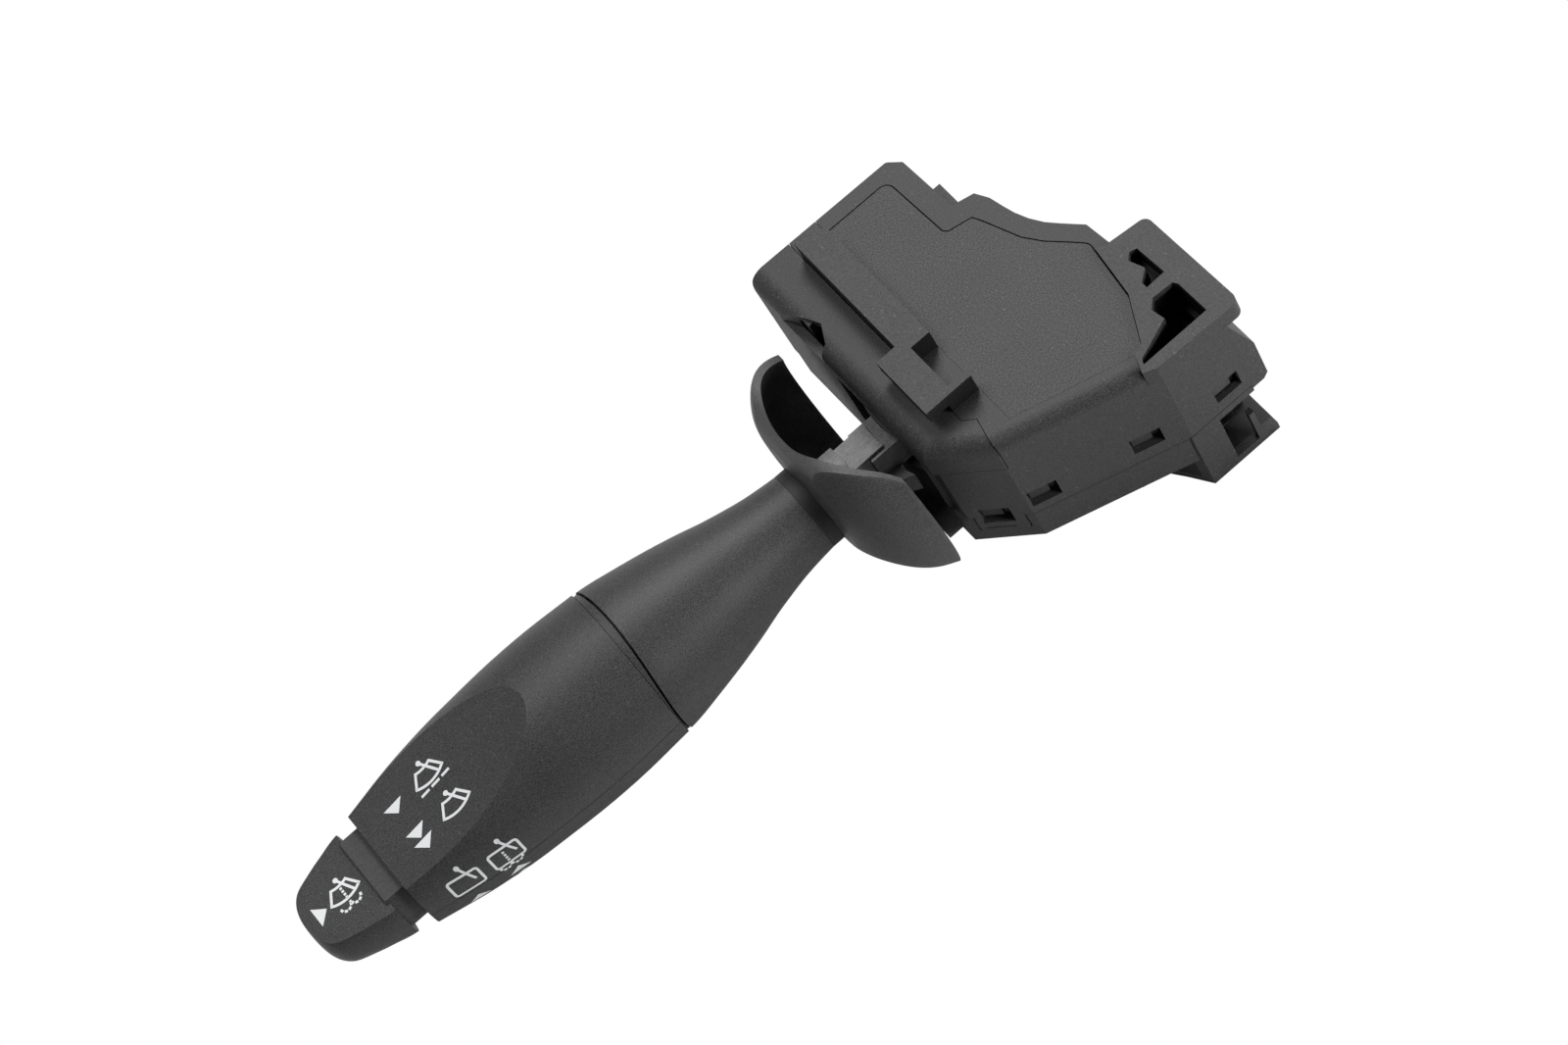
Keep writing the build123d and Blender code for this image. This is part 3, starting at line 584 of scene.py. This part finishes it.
class FinishShop:
    """Makes each material and puts it on pieces."""

    def __init__(self) -> None:
        """Build the shared node groups."""
        self.grain = grain_group()
        self.wear = wear_group()
        self.shade = painted_shade_group()
        self.made: Dict[str, bpy.types.Material] = {}

    def blank(self, name: str) -> Tuple[bpy.types.Material, Shader, Node]:
        """Start a material.

        Args:
            name: Its name.

        Returns:
            The material, a tool for its tree and its shader node.
        """
        material = bpy.data.materials.new(name)
        material.use_nodes = True
        return material, Shader(material.node_tree), material.node_tree.nodes["Principled BSDF"]

    def grained(self, tool: Shader, finish: Moulding) -> Tuple[Node, Socket]:
        """Place the grain group with one finish's values.

        Args:
            tool: The material's tool.
            finish: The moulding finish.

        Returns:
            The group's node and the object coordinates.
        """
        where = tool.place()
        node = tool.group(self.grain, {
            "Vector": where, "Colour": (*finish.colour, 1.0), "Scale": finish.grain.value,
            "Depth": finish.depth, "Mottle": finish.mottle, "Roughness": finish.roughness})
        return node, where

    def close(self, tool: Shader, shader: Node, grain: Node, colour: Socket, sheen: float) -> None:
        """Join a grained finish to the material's shader.

        Args:
            tool: The material's tool.
            shader: The shader node.
            grain: The grain group's node.
            colour: The finished colour.
            sheen: The specular level.
        """
        tool.link(colour, shader.inputs["Base Color"])
        tool.link(grain.outputs["Roughness"], shader.inputs["Roughness"])
        tool.link(grain.outputs["Normal"], shader.inputs["Normal"])
        shader.inputs["Specular IOR Level"].default_value = sheen

    def shaded(self, finish: Moulding, name: str, *recesses: PaintedShadeBox) -> bpy.types.Material:
        """Make a moulded finish with painted shade inside some recesses.

        Args:
            finish: The moulding finish.
            name: The material's name.
            *recesses: Where the painted shade lies.

        Returns:
            The material.
        """
        material, tool, shader = self.blank(name)
        grain, where = self.grained(tool, finish)
        colour = grain.outputs["Colour"]
        # Each box darkens the colour inside it as painted shade.
        for recess in recesses:
            colour = tool.group(self.shade, {
                "Vector": where, "Colour": colour, "Low": [value * MM for value in recess.low],
                "High": [value * MM for value in recess.high], "Fade": recess.fade * MM,
                "Depth": recess.depth}).outputs["Colour"]
        self.close(tool, shader, grain, colour, finish.sheen)
        return material

    def moulding(self, finish: Moulding) -> bpy.types.Material:
        """Make a moulded finish the first time it is asked for.

        Args:
            finish: The moulding finish.

        Returns:
            The material.
        """
        if finish.name not in self.made:
            self.made[finish.name] = self.shaded(finish, finish.name)
        return self.made[finish.name]

    def worn(self, finish: Moulding, name: str, mask: WearMask) -> bpy.types.Material:
        """Make a moulded finish that is rubbed where the mask lies.

        Args:
            finish: The moulding finish under the wear.
            name: The material's name.
            mask: Where the wear lies.

        Returns:
            The material.
        """
        material, tool, shader = self.blank(name)
        grain, where = self.grained(tool, finish)
        node = tool.group(self.wear, {
            "Vector": mask.drawn(tool, where), "Colour": grain.outputs["Colour"],
            "Worn": (*mask.colour, 1.0), "Scale": mask.scale, "Mask": mask.build(tool, where)})
        self.close(tool, shader, grain, node.outputs["Colour"], finish.sheen)
        return material

    def metal(self, finish: Metal) -> bpy.types.Material:
        """Make a slightly uneven metal finish the first time it is asked for.

        Args:
            finish: The metal finish.

        Returns:
            The material.
        """
        if finish.name not in self.made:
            material, tool, shader = self.blank(finish.name)
            noise = tool.noise(tool.place(), METAL_SCALE, METAL_DETAIL)
            rough = tool.math("MULTIPLY_ADD", noise, METAL_ROUGH_SPREAD,
                              finish.roughness - METAL_ROUGH_SPREAD / 2)
            tool.link(rough, shader.inputs["Roughness"])
            factor = tool.math("MULTIPLY_ADD", noise, METAL_MOTTLE, 1.0 - METAL_MOTTLE / 2)
            tool.link(tool.scaled(finish.colour, factor), shader.inputs["Base Color"])
            shader.inputs["Metallic"].default_value = 1.0
            self.made[finish.name] = material
        return self.made[finish.name]

    def ink(self) -> bpy.types.Material:
        """Return the printed white of the symbols."""
        if "symbol_ink" not in self.made:
            material, tool, shader = self.blank("symbol_ink")
            noise = tool.noise(tool.place(), INK_SCALE)
            factor = tool.math("MULTIPLY_ADD", noise, INK_MOTTLE, INK_BASE)
            tool.link(tool.scaled(INK_COLOUR, factor), shader.inputs["Base Color"])
            shader.inputs["Roughness"].default_value = INK_ROUGHNESS
            self.made["symbol_ink"] = material
        return self.made["symbol_ink"]

    def put(self, node: str, material: bpy.types.Material) -> None:
        """Give a CAD node its material.

        Args:
            node: The node's name.
            material: The material for all its slots.
        """
        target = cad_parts[node]
        if not target.material_slots:
            target.data.materials.append(material)
        for slot in target.material_slots:
            slot.material = material


@dataclass
class Housing:
    """The fixed shells, the socket and the bezel.

    Attributes:
        shells: Nodes with the plain housing finish.
        pockets: Painted shade inside the two pockets of the end block.
        socket: Painted shade inside the connector socket.
        line: Painted shade on the panel's sides below its top, seen as the thin dark line round the flat
            panel.
        latches: Painted shade, half dark, on the lower shell's top with the latch tabs.
        rail_sides: Painted shade on the sides of the rail and the hook.
    """

    shells: Tuple[str, ...] = ("front_cover", "end_cap")
    # Painted shade inside the end block's pockets.
    pockets: PaintedShadeBox = PaintedShadeBox(low=(22.0, -35.2, -30.0), high=(39.6, -13.4, -0.3), fade=0.3, depth=0.95)
    # Painted shade inside the connector socket.
    socket: PaintedShadeBox = PaintedShadeBox(low=(20.0, -34.6, -46.9), high=(60.0, -15.8, -30.5), fade=0.3, depth=0.96)
    # Painted shade on the panel's sides, seen as the dark line round it.
    line: PaintedShadeBox = PaintedShadeBox(low=(-FAR, -FAR, -9.0), high=(FAR, FAR, -0.04), fade=0.03, depth=0.97)
    # Painted shade, half dark, on the lower shell's top with the latch tabs.
    latches: PaintedShadeBox = PaintedShadeBox(low=(-FAR, -FAR, -29.6), high=(FAR, FAR, 0.0), fade=0.4, depth=0.45)
    # Painted shade on the sides of the rail and the hook.
    rail_sides: PaintedShadeBox = PaintedShadeBox(low=(-FAR, -FAR, 0.0), high=(FAR, FAR, 5.95), fade=0.2, depth=0.8)

    def dress(self, shop: FinishShop) -> None:
        """Put the finishes on the housing.

        Args:
            shop: Where the materials come from.
        """
        for node in self.shells:
            shop.put(node, shop.moulding(HOUSING))
        # These materials get painted shade inside the boxes above.
        shop.put("main_cover", shop.shaded(HOUSING, "cover_with_painted_shade", self.pockets, self.rail_sides))
        shop.put("side_frame", shop.shaded(HOUSING, "frame_with_painted_shade", self.pockets))
        shop.put("base_housing", shop.shaded(HOUSING, "base_with_painted_shade", self.latches))
        shop.put("connector_housing", shop.shaded(HOUSING, "socket_with_painted_shade", self.socket))
        shop.put("top_plate", shop.shaded(PANEL, "panel_with_painted_shade", self.line))
        shop.put("slot_bezel", shop.moulding(INNER))
        shop.put("connector_terminals", shop.metal(TIN))


@dataclass
class Mechanism:
    """The carrier, sliders, contacts and springs inside.

    Attributes:
        steel: Nodes of drawn steel.
        brass: Nodes of rolled brass.
        sliders: Nodes of pale slider plastic.
        spring_foot: Where the pull spring stands, in metres. Not used.
        spring_keep: The share of its length that the full pull leaves it. Not used.
    """

    steel: Tuple[str, ...] = ("trunnion_pins", "swing_plunger", "plunger_spring", "pull_spring",
                              "push_rod", "button_spring")
    brass: Tuple[str, ...] = ("contact_tracks", "swing_bridges", "pull_bridges", "wash_bridge")
    sliders: Tuple[str, ...] = ("detent_track", "swing_slider", "pull_slider", "wash_slider")
    spring_foot: Place = (0.0071, 0.0055, -0.023)
    spring_keep: float = 0.77

    def dress(self, shop: FinishShop) -> None:
        """Put the finishes on the inner pieces and give the pull spring its own mesh.

        Args:
            shop: Where the materials come from.
        """
        for node in self.steel:
            shop.put(node, shop.metal(STEEL))
        for node in self.brass:
            shop.put(node, shop.metal(BRASS))
        for node in self.sliders:
            shop.put(node, shop.moulding(SLIDER))
        shop.put("contact_plate", shop.moulding(BOARD))
        shop.put("swing_carrier", shop.moulding(INNER))
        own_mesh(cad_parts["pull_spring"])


@dataclass
class Stalk:
    """The lever with its shroud, sleeve, barrel and knob.

    Attributes:
        satin: Nodes with the plain stalk finish.
        rim: The wear of the shroud's edges.
        root: The wear of the lever's root.
        skirt: The scratches on the knob's skirt.
    """

    satin: Tuple[str, ...] = ("sleeve", "barrel_ring", "barrel_top", "barrel_bottom")
    rim: WearMask = RimWear(x_from=-24.2, x_full=-23.7, colour=(0.15, 0.15, 0.15), scale=2200.0, strength=0.6)
    root: WearMask = WearMask(x_from=-36.0, x_full=-30.0, colour=(0.27, 0.27, 0.265), scale=1100.0,
                              strength=0.6, stretch=0.3)
    skirt: WearMask = WearMask(x_from=-147.4, x_full=-147.0, colour=(0.1, 0.1, 0.1), scale=1600.0,
                               strength=0.2, stretch=0.12)

    def dress(self, shop: FinishShop) -> None:
        """Put the finishes on the stalk.

        Args:
            shop: Where the materials come from.
        """
        for node in self.satin:
            shop.put(node, shop.moulding(STALK))
        shop.put("collar_ring", shop.moulding(SEAL))
        shop.put("dust_shroud", shop.worn(SHROUD, "shroud_moulding", self.rim))
        shop.put("lever_core", shop.worn(ROOT, "root_moulding", self.root))
        shop.put("wash_button", shop.worn(STALK, "knob_moulding", self.skirt))


@contextmanager
def editing() -> Iterator[None]:
    """Open the active mesh for editing with all of it selected, and close it again.

    Returns:
        A context in which the mesh is open.
    """
    bpy.ops.object.mode_set(mode="EDIT")
    bpy.ops.mesh.select_all(action="SELECT")
    yield
    bpy.ops.object.mode_set(mode="OBJECT")


def joined(pieces: Sequence[bpy.types.Object]) -> bpy.types.Object:
    """Join pieces into one.

    Args:
        pieces: One piece or more.

    Returns:
        The first piece, which holds them all and is the active one.
    """
    bpy.ops.object.select_all(action="DESELECT")
    for piece in pieces:
        piece.select_set(True)
    bpy.context.view_layer.objects.active = pieces[0]
    if len(pieces) > 1:
        bpy.ops.object.join()
    return bpy.context.active_object


def arc_points(first: Point, last: Point, rise: float, count: int) -> List[Point]:
    """Return points on the arc between two points at equal height.

    Args:
        first: Where the arc starts.
        last: Where the arc ends.
        rise: How far its middle stands over the chord.
        count: How many steps it has.

    Returns:
        The points, without the last one.
    """
    half = (last[0] - first[0]) / 2
    radius = (half * half + rise * rise) / (2 * rise)
    middle = ((first[0] + last[0]) / 2, first[1] + rise - radius)
    reach = asin(half / radius)
    turns = [reach * (2 * k / count - 1) for k in range(count)]
    return [(middle[0] + radius * sin(t), middle[1] + radius * cos(t)) for t in turns]


def line_points(first: Point, last: Point, count: int) -> List[Point]:
    """Return equally spaced points on a line.

    Args:
        first: Where the line starts.
        last: Where the line ends.
        count: How many steps it has.

    Returns:
        The points, without the last one.
    """
    return [(first[0] + (last[0] - first[0]) * k / count, first[1] + (last[1] - first[1]) * k / count)
            for k in range(count)]


@dataclass(frozen=True)
class Spot:
    """Where a symbol is printed, in mm.

    Attributes:
        x: Place along the lever of the middle of the symbol's foot.
        across: Y of the foot on the top, or its height over the lever's axis on the side.
        on_side: Whether the symbol lies on the round side.
        clear: How far from the lever's axis the shapes are drawn before they are laid on.
    """

    x: float
    across: float
    on_side: bool = False
    clear: float = 24.0

    def point(self, a: float, b: float) -> Vector:
        """Return a point of the symbol held clear of the stalk.

        Args:
            a: Distance from the symbol's middle along the lever.
            b: Distance from the symbol's foot, round the lever.

        Returns:
            The point in metres.
        """
        if self.on_side:
            return Vector((self.x + a, -self.clear, AXIS_Z + self.across - b)) * MM
        return Vector((self.x + a, self.across - b, AXIS_Z + self.clear)) * MM


class Printer:
    """Draws flat shapes and presses them onto the stalk as thin white print."""

    def __init__(self, name: str, spot: Spot, onto: Sequence[str], body: str) -> None:
        """Start an empty symbol.

        Args:
            name: The finished piece's name.
            spot: Where it is printed.
            onto: One or two CAD nodes that it lies on.
            body: The body that it moves with.
        """
        self.name = name
        self.spot = spot
        self.onto = onto
        self.body = body
        self.layers: List[List[bpy.types.Object]] = [[], []]

    def filled(self, outline: Sequence[Point], layer: int = 0, cuts: int = 0) -> None:
        """Add a filled shape and leave it active.

        Args:
            outline: Its corners in the symbol's own plane.
            layer: 0 for the lower print, 1 for strokes that cross it.
            cuts: How often each edge is divided, so that the shape can bend.
        """
        bpy.ops.object.select_all(action="DESELECT")
        bpy.ops.mesh.primitive_circle_add(vertices=len(outline), radius=MM, fill_type="NGON")
        piece = bpy.context.active_object
        for vertex, (a, b) in zip(piece.data.vertices, outline):
            vertex.co = self.spot.point(a, b)
        if cuts:
            with editing():
                bpy.ops.mesh.subdivide(number_cuts=cuts)
        self.layers[layer].append(piece)

    def framed(self, outline: Sequence[Point]) -> None:
        """Add the outline of a shape as a stroke.

        Args:
            outline: Its outer corners in the symbol's own plane.
        """
        self.filled(outline)
        with editing():
            bpy.ops.mesh.inset(thickness=STROKE * MM)
            bpy.ops.mesh.delete(type="FACE")

    def bar(self, first: Point, last: Point, layer: int = 0, cuts: int = 0) -> None:
        """Add a straight stroke between two points.

        Args:
            first: Where the stroke starts.
            last: Where the stroke ends.
            layer: 0 for the lower print, 1 for strokes that cross it.
            cuts: How often each edge is divided.
        """
        run, climb = last[0] - first[0], last[1] - first[1]
        length = hypot(run, climb)
        side = (-climb / length * STROKE / 2, run / length * STROKE / 2)
        corners = [(end[0] + sign * side[0], end[1] + sign * side[1])
                   for end, sign in ((first, -1), (last, -1), (last, 1), (first, 1))]
        self.filled(corners, layer, cuts)

    def wiper(self, pivot: Point, tip: Point) -> None:
        """Add the wiper with its round pivot.

        Args:
            pivot: The middle of the pivot.
            tip: Where the wiper ends.
        """
        turns = [2 * pi * k / PIVOT_SIDES for k in range(PIVOT_SIDES)]
        self.filled([(pivot[0] + PIVOT_R * cos(t), pivot[1] + PIVOT_R * sin(t)) for t in turns])
        self.bar(pivot, tip, layer=1, cuts=WIPER_CUTS)

    def spray(self, middle: float, start: float, top: float) -> None:
        """Add the dotted jet and the two dotted arcs that it splits into.

        Args:
            middle: Place of the jet along the lever.
            start: Where the jet starts.
            top: Where the jet splits.
        """
        for k in range(JET_DROPS):
            low = start + (top - JET_GAP - start) * k / (JET_DROPS - 1)
            self.bar((middle, low), (middle, low + JET_DROP))
        self.bar((middle, top - SPLIT_BELOW), (middle, top + SPLIT_ABOVE))
        for side in (-1, 1):
            for k in range(ARC_DROPS):
                turn = pi * (ARC_START + ARC_STEP * k)
                ends = [(middle + side * SPRAY_R * (1 + cos(pi - t)), top + SPRAY_R * sin(t))
                        for t in (turn, turn + ARC_DROP)]
                self.bar(*ends)

    def arrow(self, foot: float, tip: float, middle: float = 0.0) -> None:
        """Add a filled triangle that points round the lever.

        Args:
            foot: Where its straight side lies.
            tip: Where its point lies.
            middle: Its place along the lever.
        """
        self.filled([(middle - ARROW_HALF, foot), (middle + ARROW_HALF, foot), (middle, tip)],
                    cuts=ARROW_CUTS)

    def press(self, shop: FinishShop) -> None:
        """Lay every shape on the stalk, give it thickness and join it.

        Args:
            shop: Where the ink comes from.
        """
        sheets = []
        for layer, pieces in enumerate(self.layers):
            if pieces:
                sheets.append(joined(pieces))
                self.wrap(sheets[-1], INK_LIFT * (1 + LAYER_RISE * layer))
        printed = joined(sheets)
        printed.name = self.name
        printed.data.materials.clear()
        printed.data.materials.append(shop.ink())
        with editing():
            bpy.ops.mesh.normals_make_consistent(inside=False)
        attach(printed, self.body)

    def wrap(self, sheet: bpy.types.Object, lift: float) -> None:
        """Drop a flat sheet onto the stalk and thicken it.

        Args:
            sheet: The sheet, which is the active piece.
            lift: How far it stays off the stalk, in mm.
        """
        drop = sheet.modifiers.new("drop", "SHRINKWRAP")
        drop.wrap_method = "PROJECT"
        drop.wrap_mode = "ABOVE_SURFACE"
        drop.use_project_y = self.spot.on_side
        drop.use_project_z = not self.spot.on_side
        drop.use_positive_direction = self.spot.on_side
        drop.use_negative_direction = not self.spot.on_side
        drop.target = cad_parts[self.onto[0]]
        if len(self.onto) > 1:
            drop.auxiliary_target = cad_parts[self.onto[1]]
        drop.offset = lift * MM
        bpy.ops.object.modifier_apply(modifier="drop")
        self.settle(sheet)
        skin = sheet.modifiers.new("skin", "SOLIDIFY")
        skin.thickness = INK_LIFT * INK_SKIN * MM
        skin.offset = 0.0
        bpy.ops.object.modifier_apply(modifier="skin")

    def settle(self, sheet: bpy.types.Object) -> None:
        """Lay points that missed the stalk, as over the parting line, at their nearest neighbour's depth.

        Args:
            sheet: The dropped sheet. It stays as it is unless it lies on the round side.
        """
        if not self.spot.on_side:
            return
        limit = (LANDED - self.spot.clear) * MM
        hung = [v for v in sheet.data.vertices if v.co.y < limit]
        landed = [v.co.copy() for v in sheet.data.vertices if v.co.y >= limit]
        for vertex in hung:
            spans = [hypot(place.x - vertex.co.x, place.z - vertex.co.z) for place in landed]
            vertex.co.y = landed[spans.index(min(spans))].y
        if hung:
            LOG.info("%s: %d points settled", self.name, len(hung))


@dataclass(frozen=True)
class Symbols:
    """The generic wiper and washer signs and the arrows, in mm.

    Attributes:
        barrel: The two CAD nodes that the signs of the grip lie on.
    """

    barrel: Tuple[str, str] = ("barrel_top", "barrel_bottom")

    @staticmethod
    def screen() -> List[Point]:
        """Return the outline of the windscreen sign."""
        foot, head, tall = 1.95, 3.85, 3.05
        lower = arc_points((-foot, 0.0), (foot, 0.0), rise=0.35, count=10)
        upper = arc_points((-head, tall), (head, tall), rise=1.15, count=20)
        right = line_points((foot, 0.0), (head, tall), count=7)
        left = line_points((-head, tall), (-foot, 0.0), count=7)
        return lower + right + [(-a, b) for a, b in upper] + left

    @staticmethod
    def window() -> List[Point]:
        """Return the outline of the rear window sign, a rectangle with round corners."""
        half, tall, corner = 3.5, 4.9, 0.85
        corner_steps, wide_steps, tall_steps = 5, 9, 6
        points: List[Point] = []
        for a, b, start in ((half - corner, tall - corner, 0.0), (corner - half, tall - corner, 90.0),
                            (corner - half, corner, 180.0), (half - corner, corner, 270.0)):
            for k in range(corner_steps + 1):
                turn = radians(start + 90.0 / corner_steps * k)
                points.append((a + corner * cos(turn), b + corner * sin(turn)))
            if start in (0.0, 180.0):
                span = 2 * (half - corner) * (1 if start else -1)
                points += [(points[-1][0] + span * k / wide_steps, points[-1][1])
                           for k in range(1, wide_steps)]
            else:
                span = (tall - 2 * corner) * (1 if start > 180.0 else -1)
                points += [(points[-1][0], points[-1][1] + span * k / tall_steps)
                           for k in range(1, tall_steps)]
        return points

    def front(self, shop: FinishShop) -> None:
        """Print the windscreen signs and arrows on the facet.

        Args:
            shop: Where the ink comes from.
        """
        slow = Printer("symbol_intermittent", Spot(x=-126.1, across=6.1), self.barrel[:1], "lever")
        slow.framed(self.screen())
        slow.wiper(pivot=(-0.1, -0.9), tip=(2.3, 3.6))
        dash_height = 4.85
        for first, last in ((3.9, 1.9), (1.25, -0.85), (-1.5, -3.6)):
            slow.bar((first, dash_height), (last, dash_height), cuts=DASH_CUTS)
        slow.press(shop)
        fast = Printer("symbol_wiper", Spot(x=-125.6, across=-2.75), self.barrel[:1], "lever")
        fast.framed(self.screen())
        fast.wiper(pivot=(-0.1, -0.8), tip=(2.2, 3.6))
        fast.press(shop)
        arrows = Printer("symbol_arrows_top", Spot(x=-134.8, across=0.0), self.barrel[:1], "lever")
        arrows.arrow(foot=-5.05, tip=-2.6, middle=-0.15)
        arrows.arrow(foot=2.25, tip=4.76, middle=0.25)
        arrows.arrow(foot=5.15, tip=7.62, middle=0.3)
        arrows.press(shop)

    def rear(self, shop: FinishShop) -> None:
        """Print the rear window signs and arrows on the round side.

        Args:
            shop: Where the ink comes from.
        """
        wash = Printer("symbol_rear_wash", Spot(x=-124.6, across=5.9, on_side=True), self.barrel, "lever")
        wash.framed(self.window())
        wash.wiper(pivot=(0.3, -1.5), tip=(2.2, 2.6))
        wash.spray(middle=-0.3, start=1.1, top=4.9)
        wash.press(shop)
        wipe = Printer("symbol_rear_wiper", Spot(x=-133.7, across=5.6, on_side=True), self.barrel, "lever")
        wipe.framed(self.window())
        wipe.wiper(pivot=(0.3, -1.6), tip=(2.0, 2.6))
        wipe.press(shop)
        arrows = Printer("symbol_arrows_side", Spot(x=-124.6, across=0.0, on_side=True), self.barrel[1:],
                         "lever")
        arrows.arrow(foot=4.1, tip=1.75)
        arrows.arrow(foot=8.1, tip=5.5, middle=0.1)
        arrows.arrow(foot=5.0, tip=2.6, middle=-9.2)
        arrows.press(shop)

    def knob(self, shop: FinishShop) -> None:
        """Print the washer sign and its arrow on the knob.

        Args:
            shop: Where the ink comes from.
        """
        wash = Printer("symbol_washer", Spot(x=-152.7, across=2.45), ("wash_button",), "button")
        wash.framed(self.screen())
        wash.wiper(pivot=(0.1, -0.8), tip=(2.2, 3.55))
        wash.spray(middle=0.0, start=1.1, top=4.75)
        wash.filled([(-7.05, 0.15), (-4.4, 2.45), (-7.05, 4.75)], cuts=POINTER_CUTS)
        wash.press(shop)


@dataclass(frozen=True)
class Lamp:
    """A soft square lamp.

    Attributes:
        name: Its name.
        place: Where it stands, in metres.
        size: Its side in metres.
        power: Its power in watts.
    """

    name: str
    place: Place
    size: float
    power: float


@dataclass
class Studio:
    """Camera, lamps, floor and world.

    Attributes:
        eye: Where the camera stands, in metres.
        right: The camera's right-hand direction.
        up: The camera's upward direction.
        focal_px: Its focal length in pixels of the photograph.
        width_px: The photograph's width.
        sensor_mm: The width of the camera's sensor.
        near_far: The nearest and farthest distance that it sees, in metres.
        lamps: The lamps.
        aim: What the lamps point at, in metres.
        floor_size: The side of the floor, in metres.
        floor_gap: How far the floor lies under the part, in metres.
        floor_grey: The floor's colour as all rays but the camera's meet it.
        floor_roughness: The floor's roughness.
        glow: How bright the world is to all rays but the camera's.
    """

    eye: Place = (-0.0865, -0.4343, 0.7036)
    right: Place = (0.7536, -0.5812, -0.3071)
    up: Place = (0.6554, 0.6284, 0.4191)
    focal_px: float = 4500.0
    width_px: float = 1600.0
    sensor_mm: float = 36.0
    near_far: Tuple[float, float] = (0.01, 20.0)
    lamps: Tuple[Lamp, ...] = (Lamp("key", (0.35, 0.5, 0.8), size=0.36, power=7.2),
                               Lamp("side", (0.65, -0.85, 0.4), size=0.4, power=7.0),
                               Lamp("front", (-0.2, 0.25, 0.85), size=0.4, power=2.6))
    aim: Place = (-0.04, 0.0, -0.01)
    floor_size: float = 6.0
    floor_gap: float = 0.0005
    floor_grey: float = 0.9
    floor_roughness: float = 0.9
    glow: float = 0.05

    def camera(self) -> None:
        """Add the camera at the photograph's place."""
        data = bpy.data.cameras.new("view")
        data.sensor_width = self.sensor_mm
        data.lens = self.focal_px / self.width_px * self.sensor_mm
        data.clip_start, data.clip_end = self.near_far
        cam = bpy.data.objects.new("view", data)
        bpy.context.collection.objects.link(cam)
        right = Vector(self.right).normalized()
        back = right.cross(Vector(self.up)).normalized()
        up = back.cross(right)
        turn = Matrix((right, up, back)).transposed()
        cam.matrix_world = Matrix.Translation(self.eye) @ turn.to_4x4()
        bpy.context.scene.camera = cam

    def light(self, lamp: Lamp) -> None:
        """Add a lamp.

        Args:
            lamp: The lamp.
        """
        data = bpy.data.lights.new(lamp.name, "AREA")
        data.size = lamp.size
        data.energy = lamp.power
        light = bpy.data.objects.new(lamp.name, data)
        bpy.context.collection.objects.link(light)
        direction = Vector(self.aim) - Vector(lamp.place)
        light.rotation_euler = direction.to_track_quat("-Z", "Y").to_euler()
        light.location = lamp.place

    def floor(self, level: float) -> None:
        """Add the pale floor, white to the camera.

        Args:
            level: The height of the object's lowest point.
        """
        bpy.ops.object.select_all(action="DESELECT")
        bpy.ops.mesh.primitive_plane_add(size=self.floor_size, location=(0.0, 0.0, level - self.floor_gap))
        plane = bpy.context.active_object
        plane.name = "studio_floor"
        material = bpy.data.materials.new("studio_floor_white")
        material.use_nodes = True
        tool = Shader(material.node_tree)
        shader = material.node_tree.nodes["Principled BSDF"]
        shader.inputs["Base Color"].default_value = (*[self.floor_grey] * 3, 1.0)
        shader.inputs["Roughness"].default_value = self.floor_roughness
        white = tool.add("ShaderNodeEmission")
        out = material.node_tree.nodes["Material Output"]
        tool.camera_white(shader.outputs[0], white.outputs[0], out.inputs["Surface"])
        plane.data.materials.append(material)

    def world(self) -> None:
        """Set the plain world, white to the camera."""
        world = bpy.data.worlds.new("studio")
        world.use_nodes = True
        bpy.context.scene.world = world
        tool = Shader(world.node_tree)
        base = world.node_tree.nodes["Background"]
        base.inputs["Color"].default_value = (1.0, 1.0, 1.0, 1.0)
        base.inputs["Strength"].default_value = self.glow
        white = tool.add("ShaderNodeBackground")
        white.inputs["Strength"].default_value = 1.0
        out = world.node_tree.nodes["World Output"]
        tool.camera_white(base.outputs[0], white.outputs[0], out.inputs["Surface"])

    def build(self) -> None:
        """Set the whole studio up."""
        self.camera()
        for lamp in self.lamps:
            self.light(lamp)
        self.floor(CAD_BOX[0][2])
        self.world()
        bpy.context.scene.view_settings.view_transform = "Standard"


def main() -> None:
    """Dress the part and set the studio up."""
    logging.basicConfig(level=logging.INFO, format="%(name)s: %(message)s")
    shop = FinishShop()
    for section in (Housing(), Mechanism(), Stalk()):
        section.dress(shop)
        LOG.info("dressed %s", type(section).__name__)
    symbols = Symbols()
    for draw in (symbols.front, symbols.rear, symbols.knob):
        draw(shop)
        LOG.info("printed %s", draw.__name__)
    Studio().build()


if __name__ == "__main__":
    main()
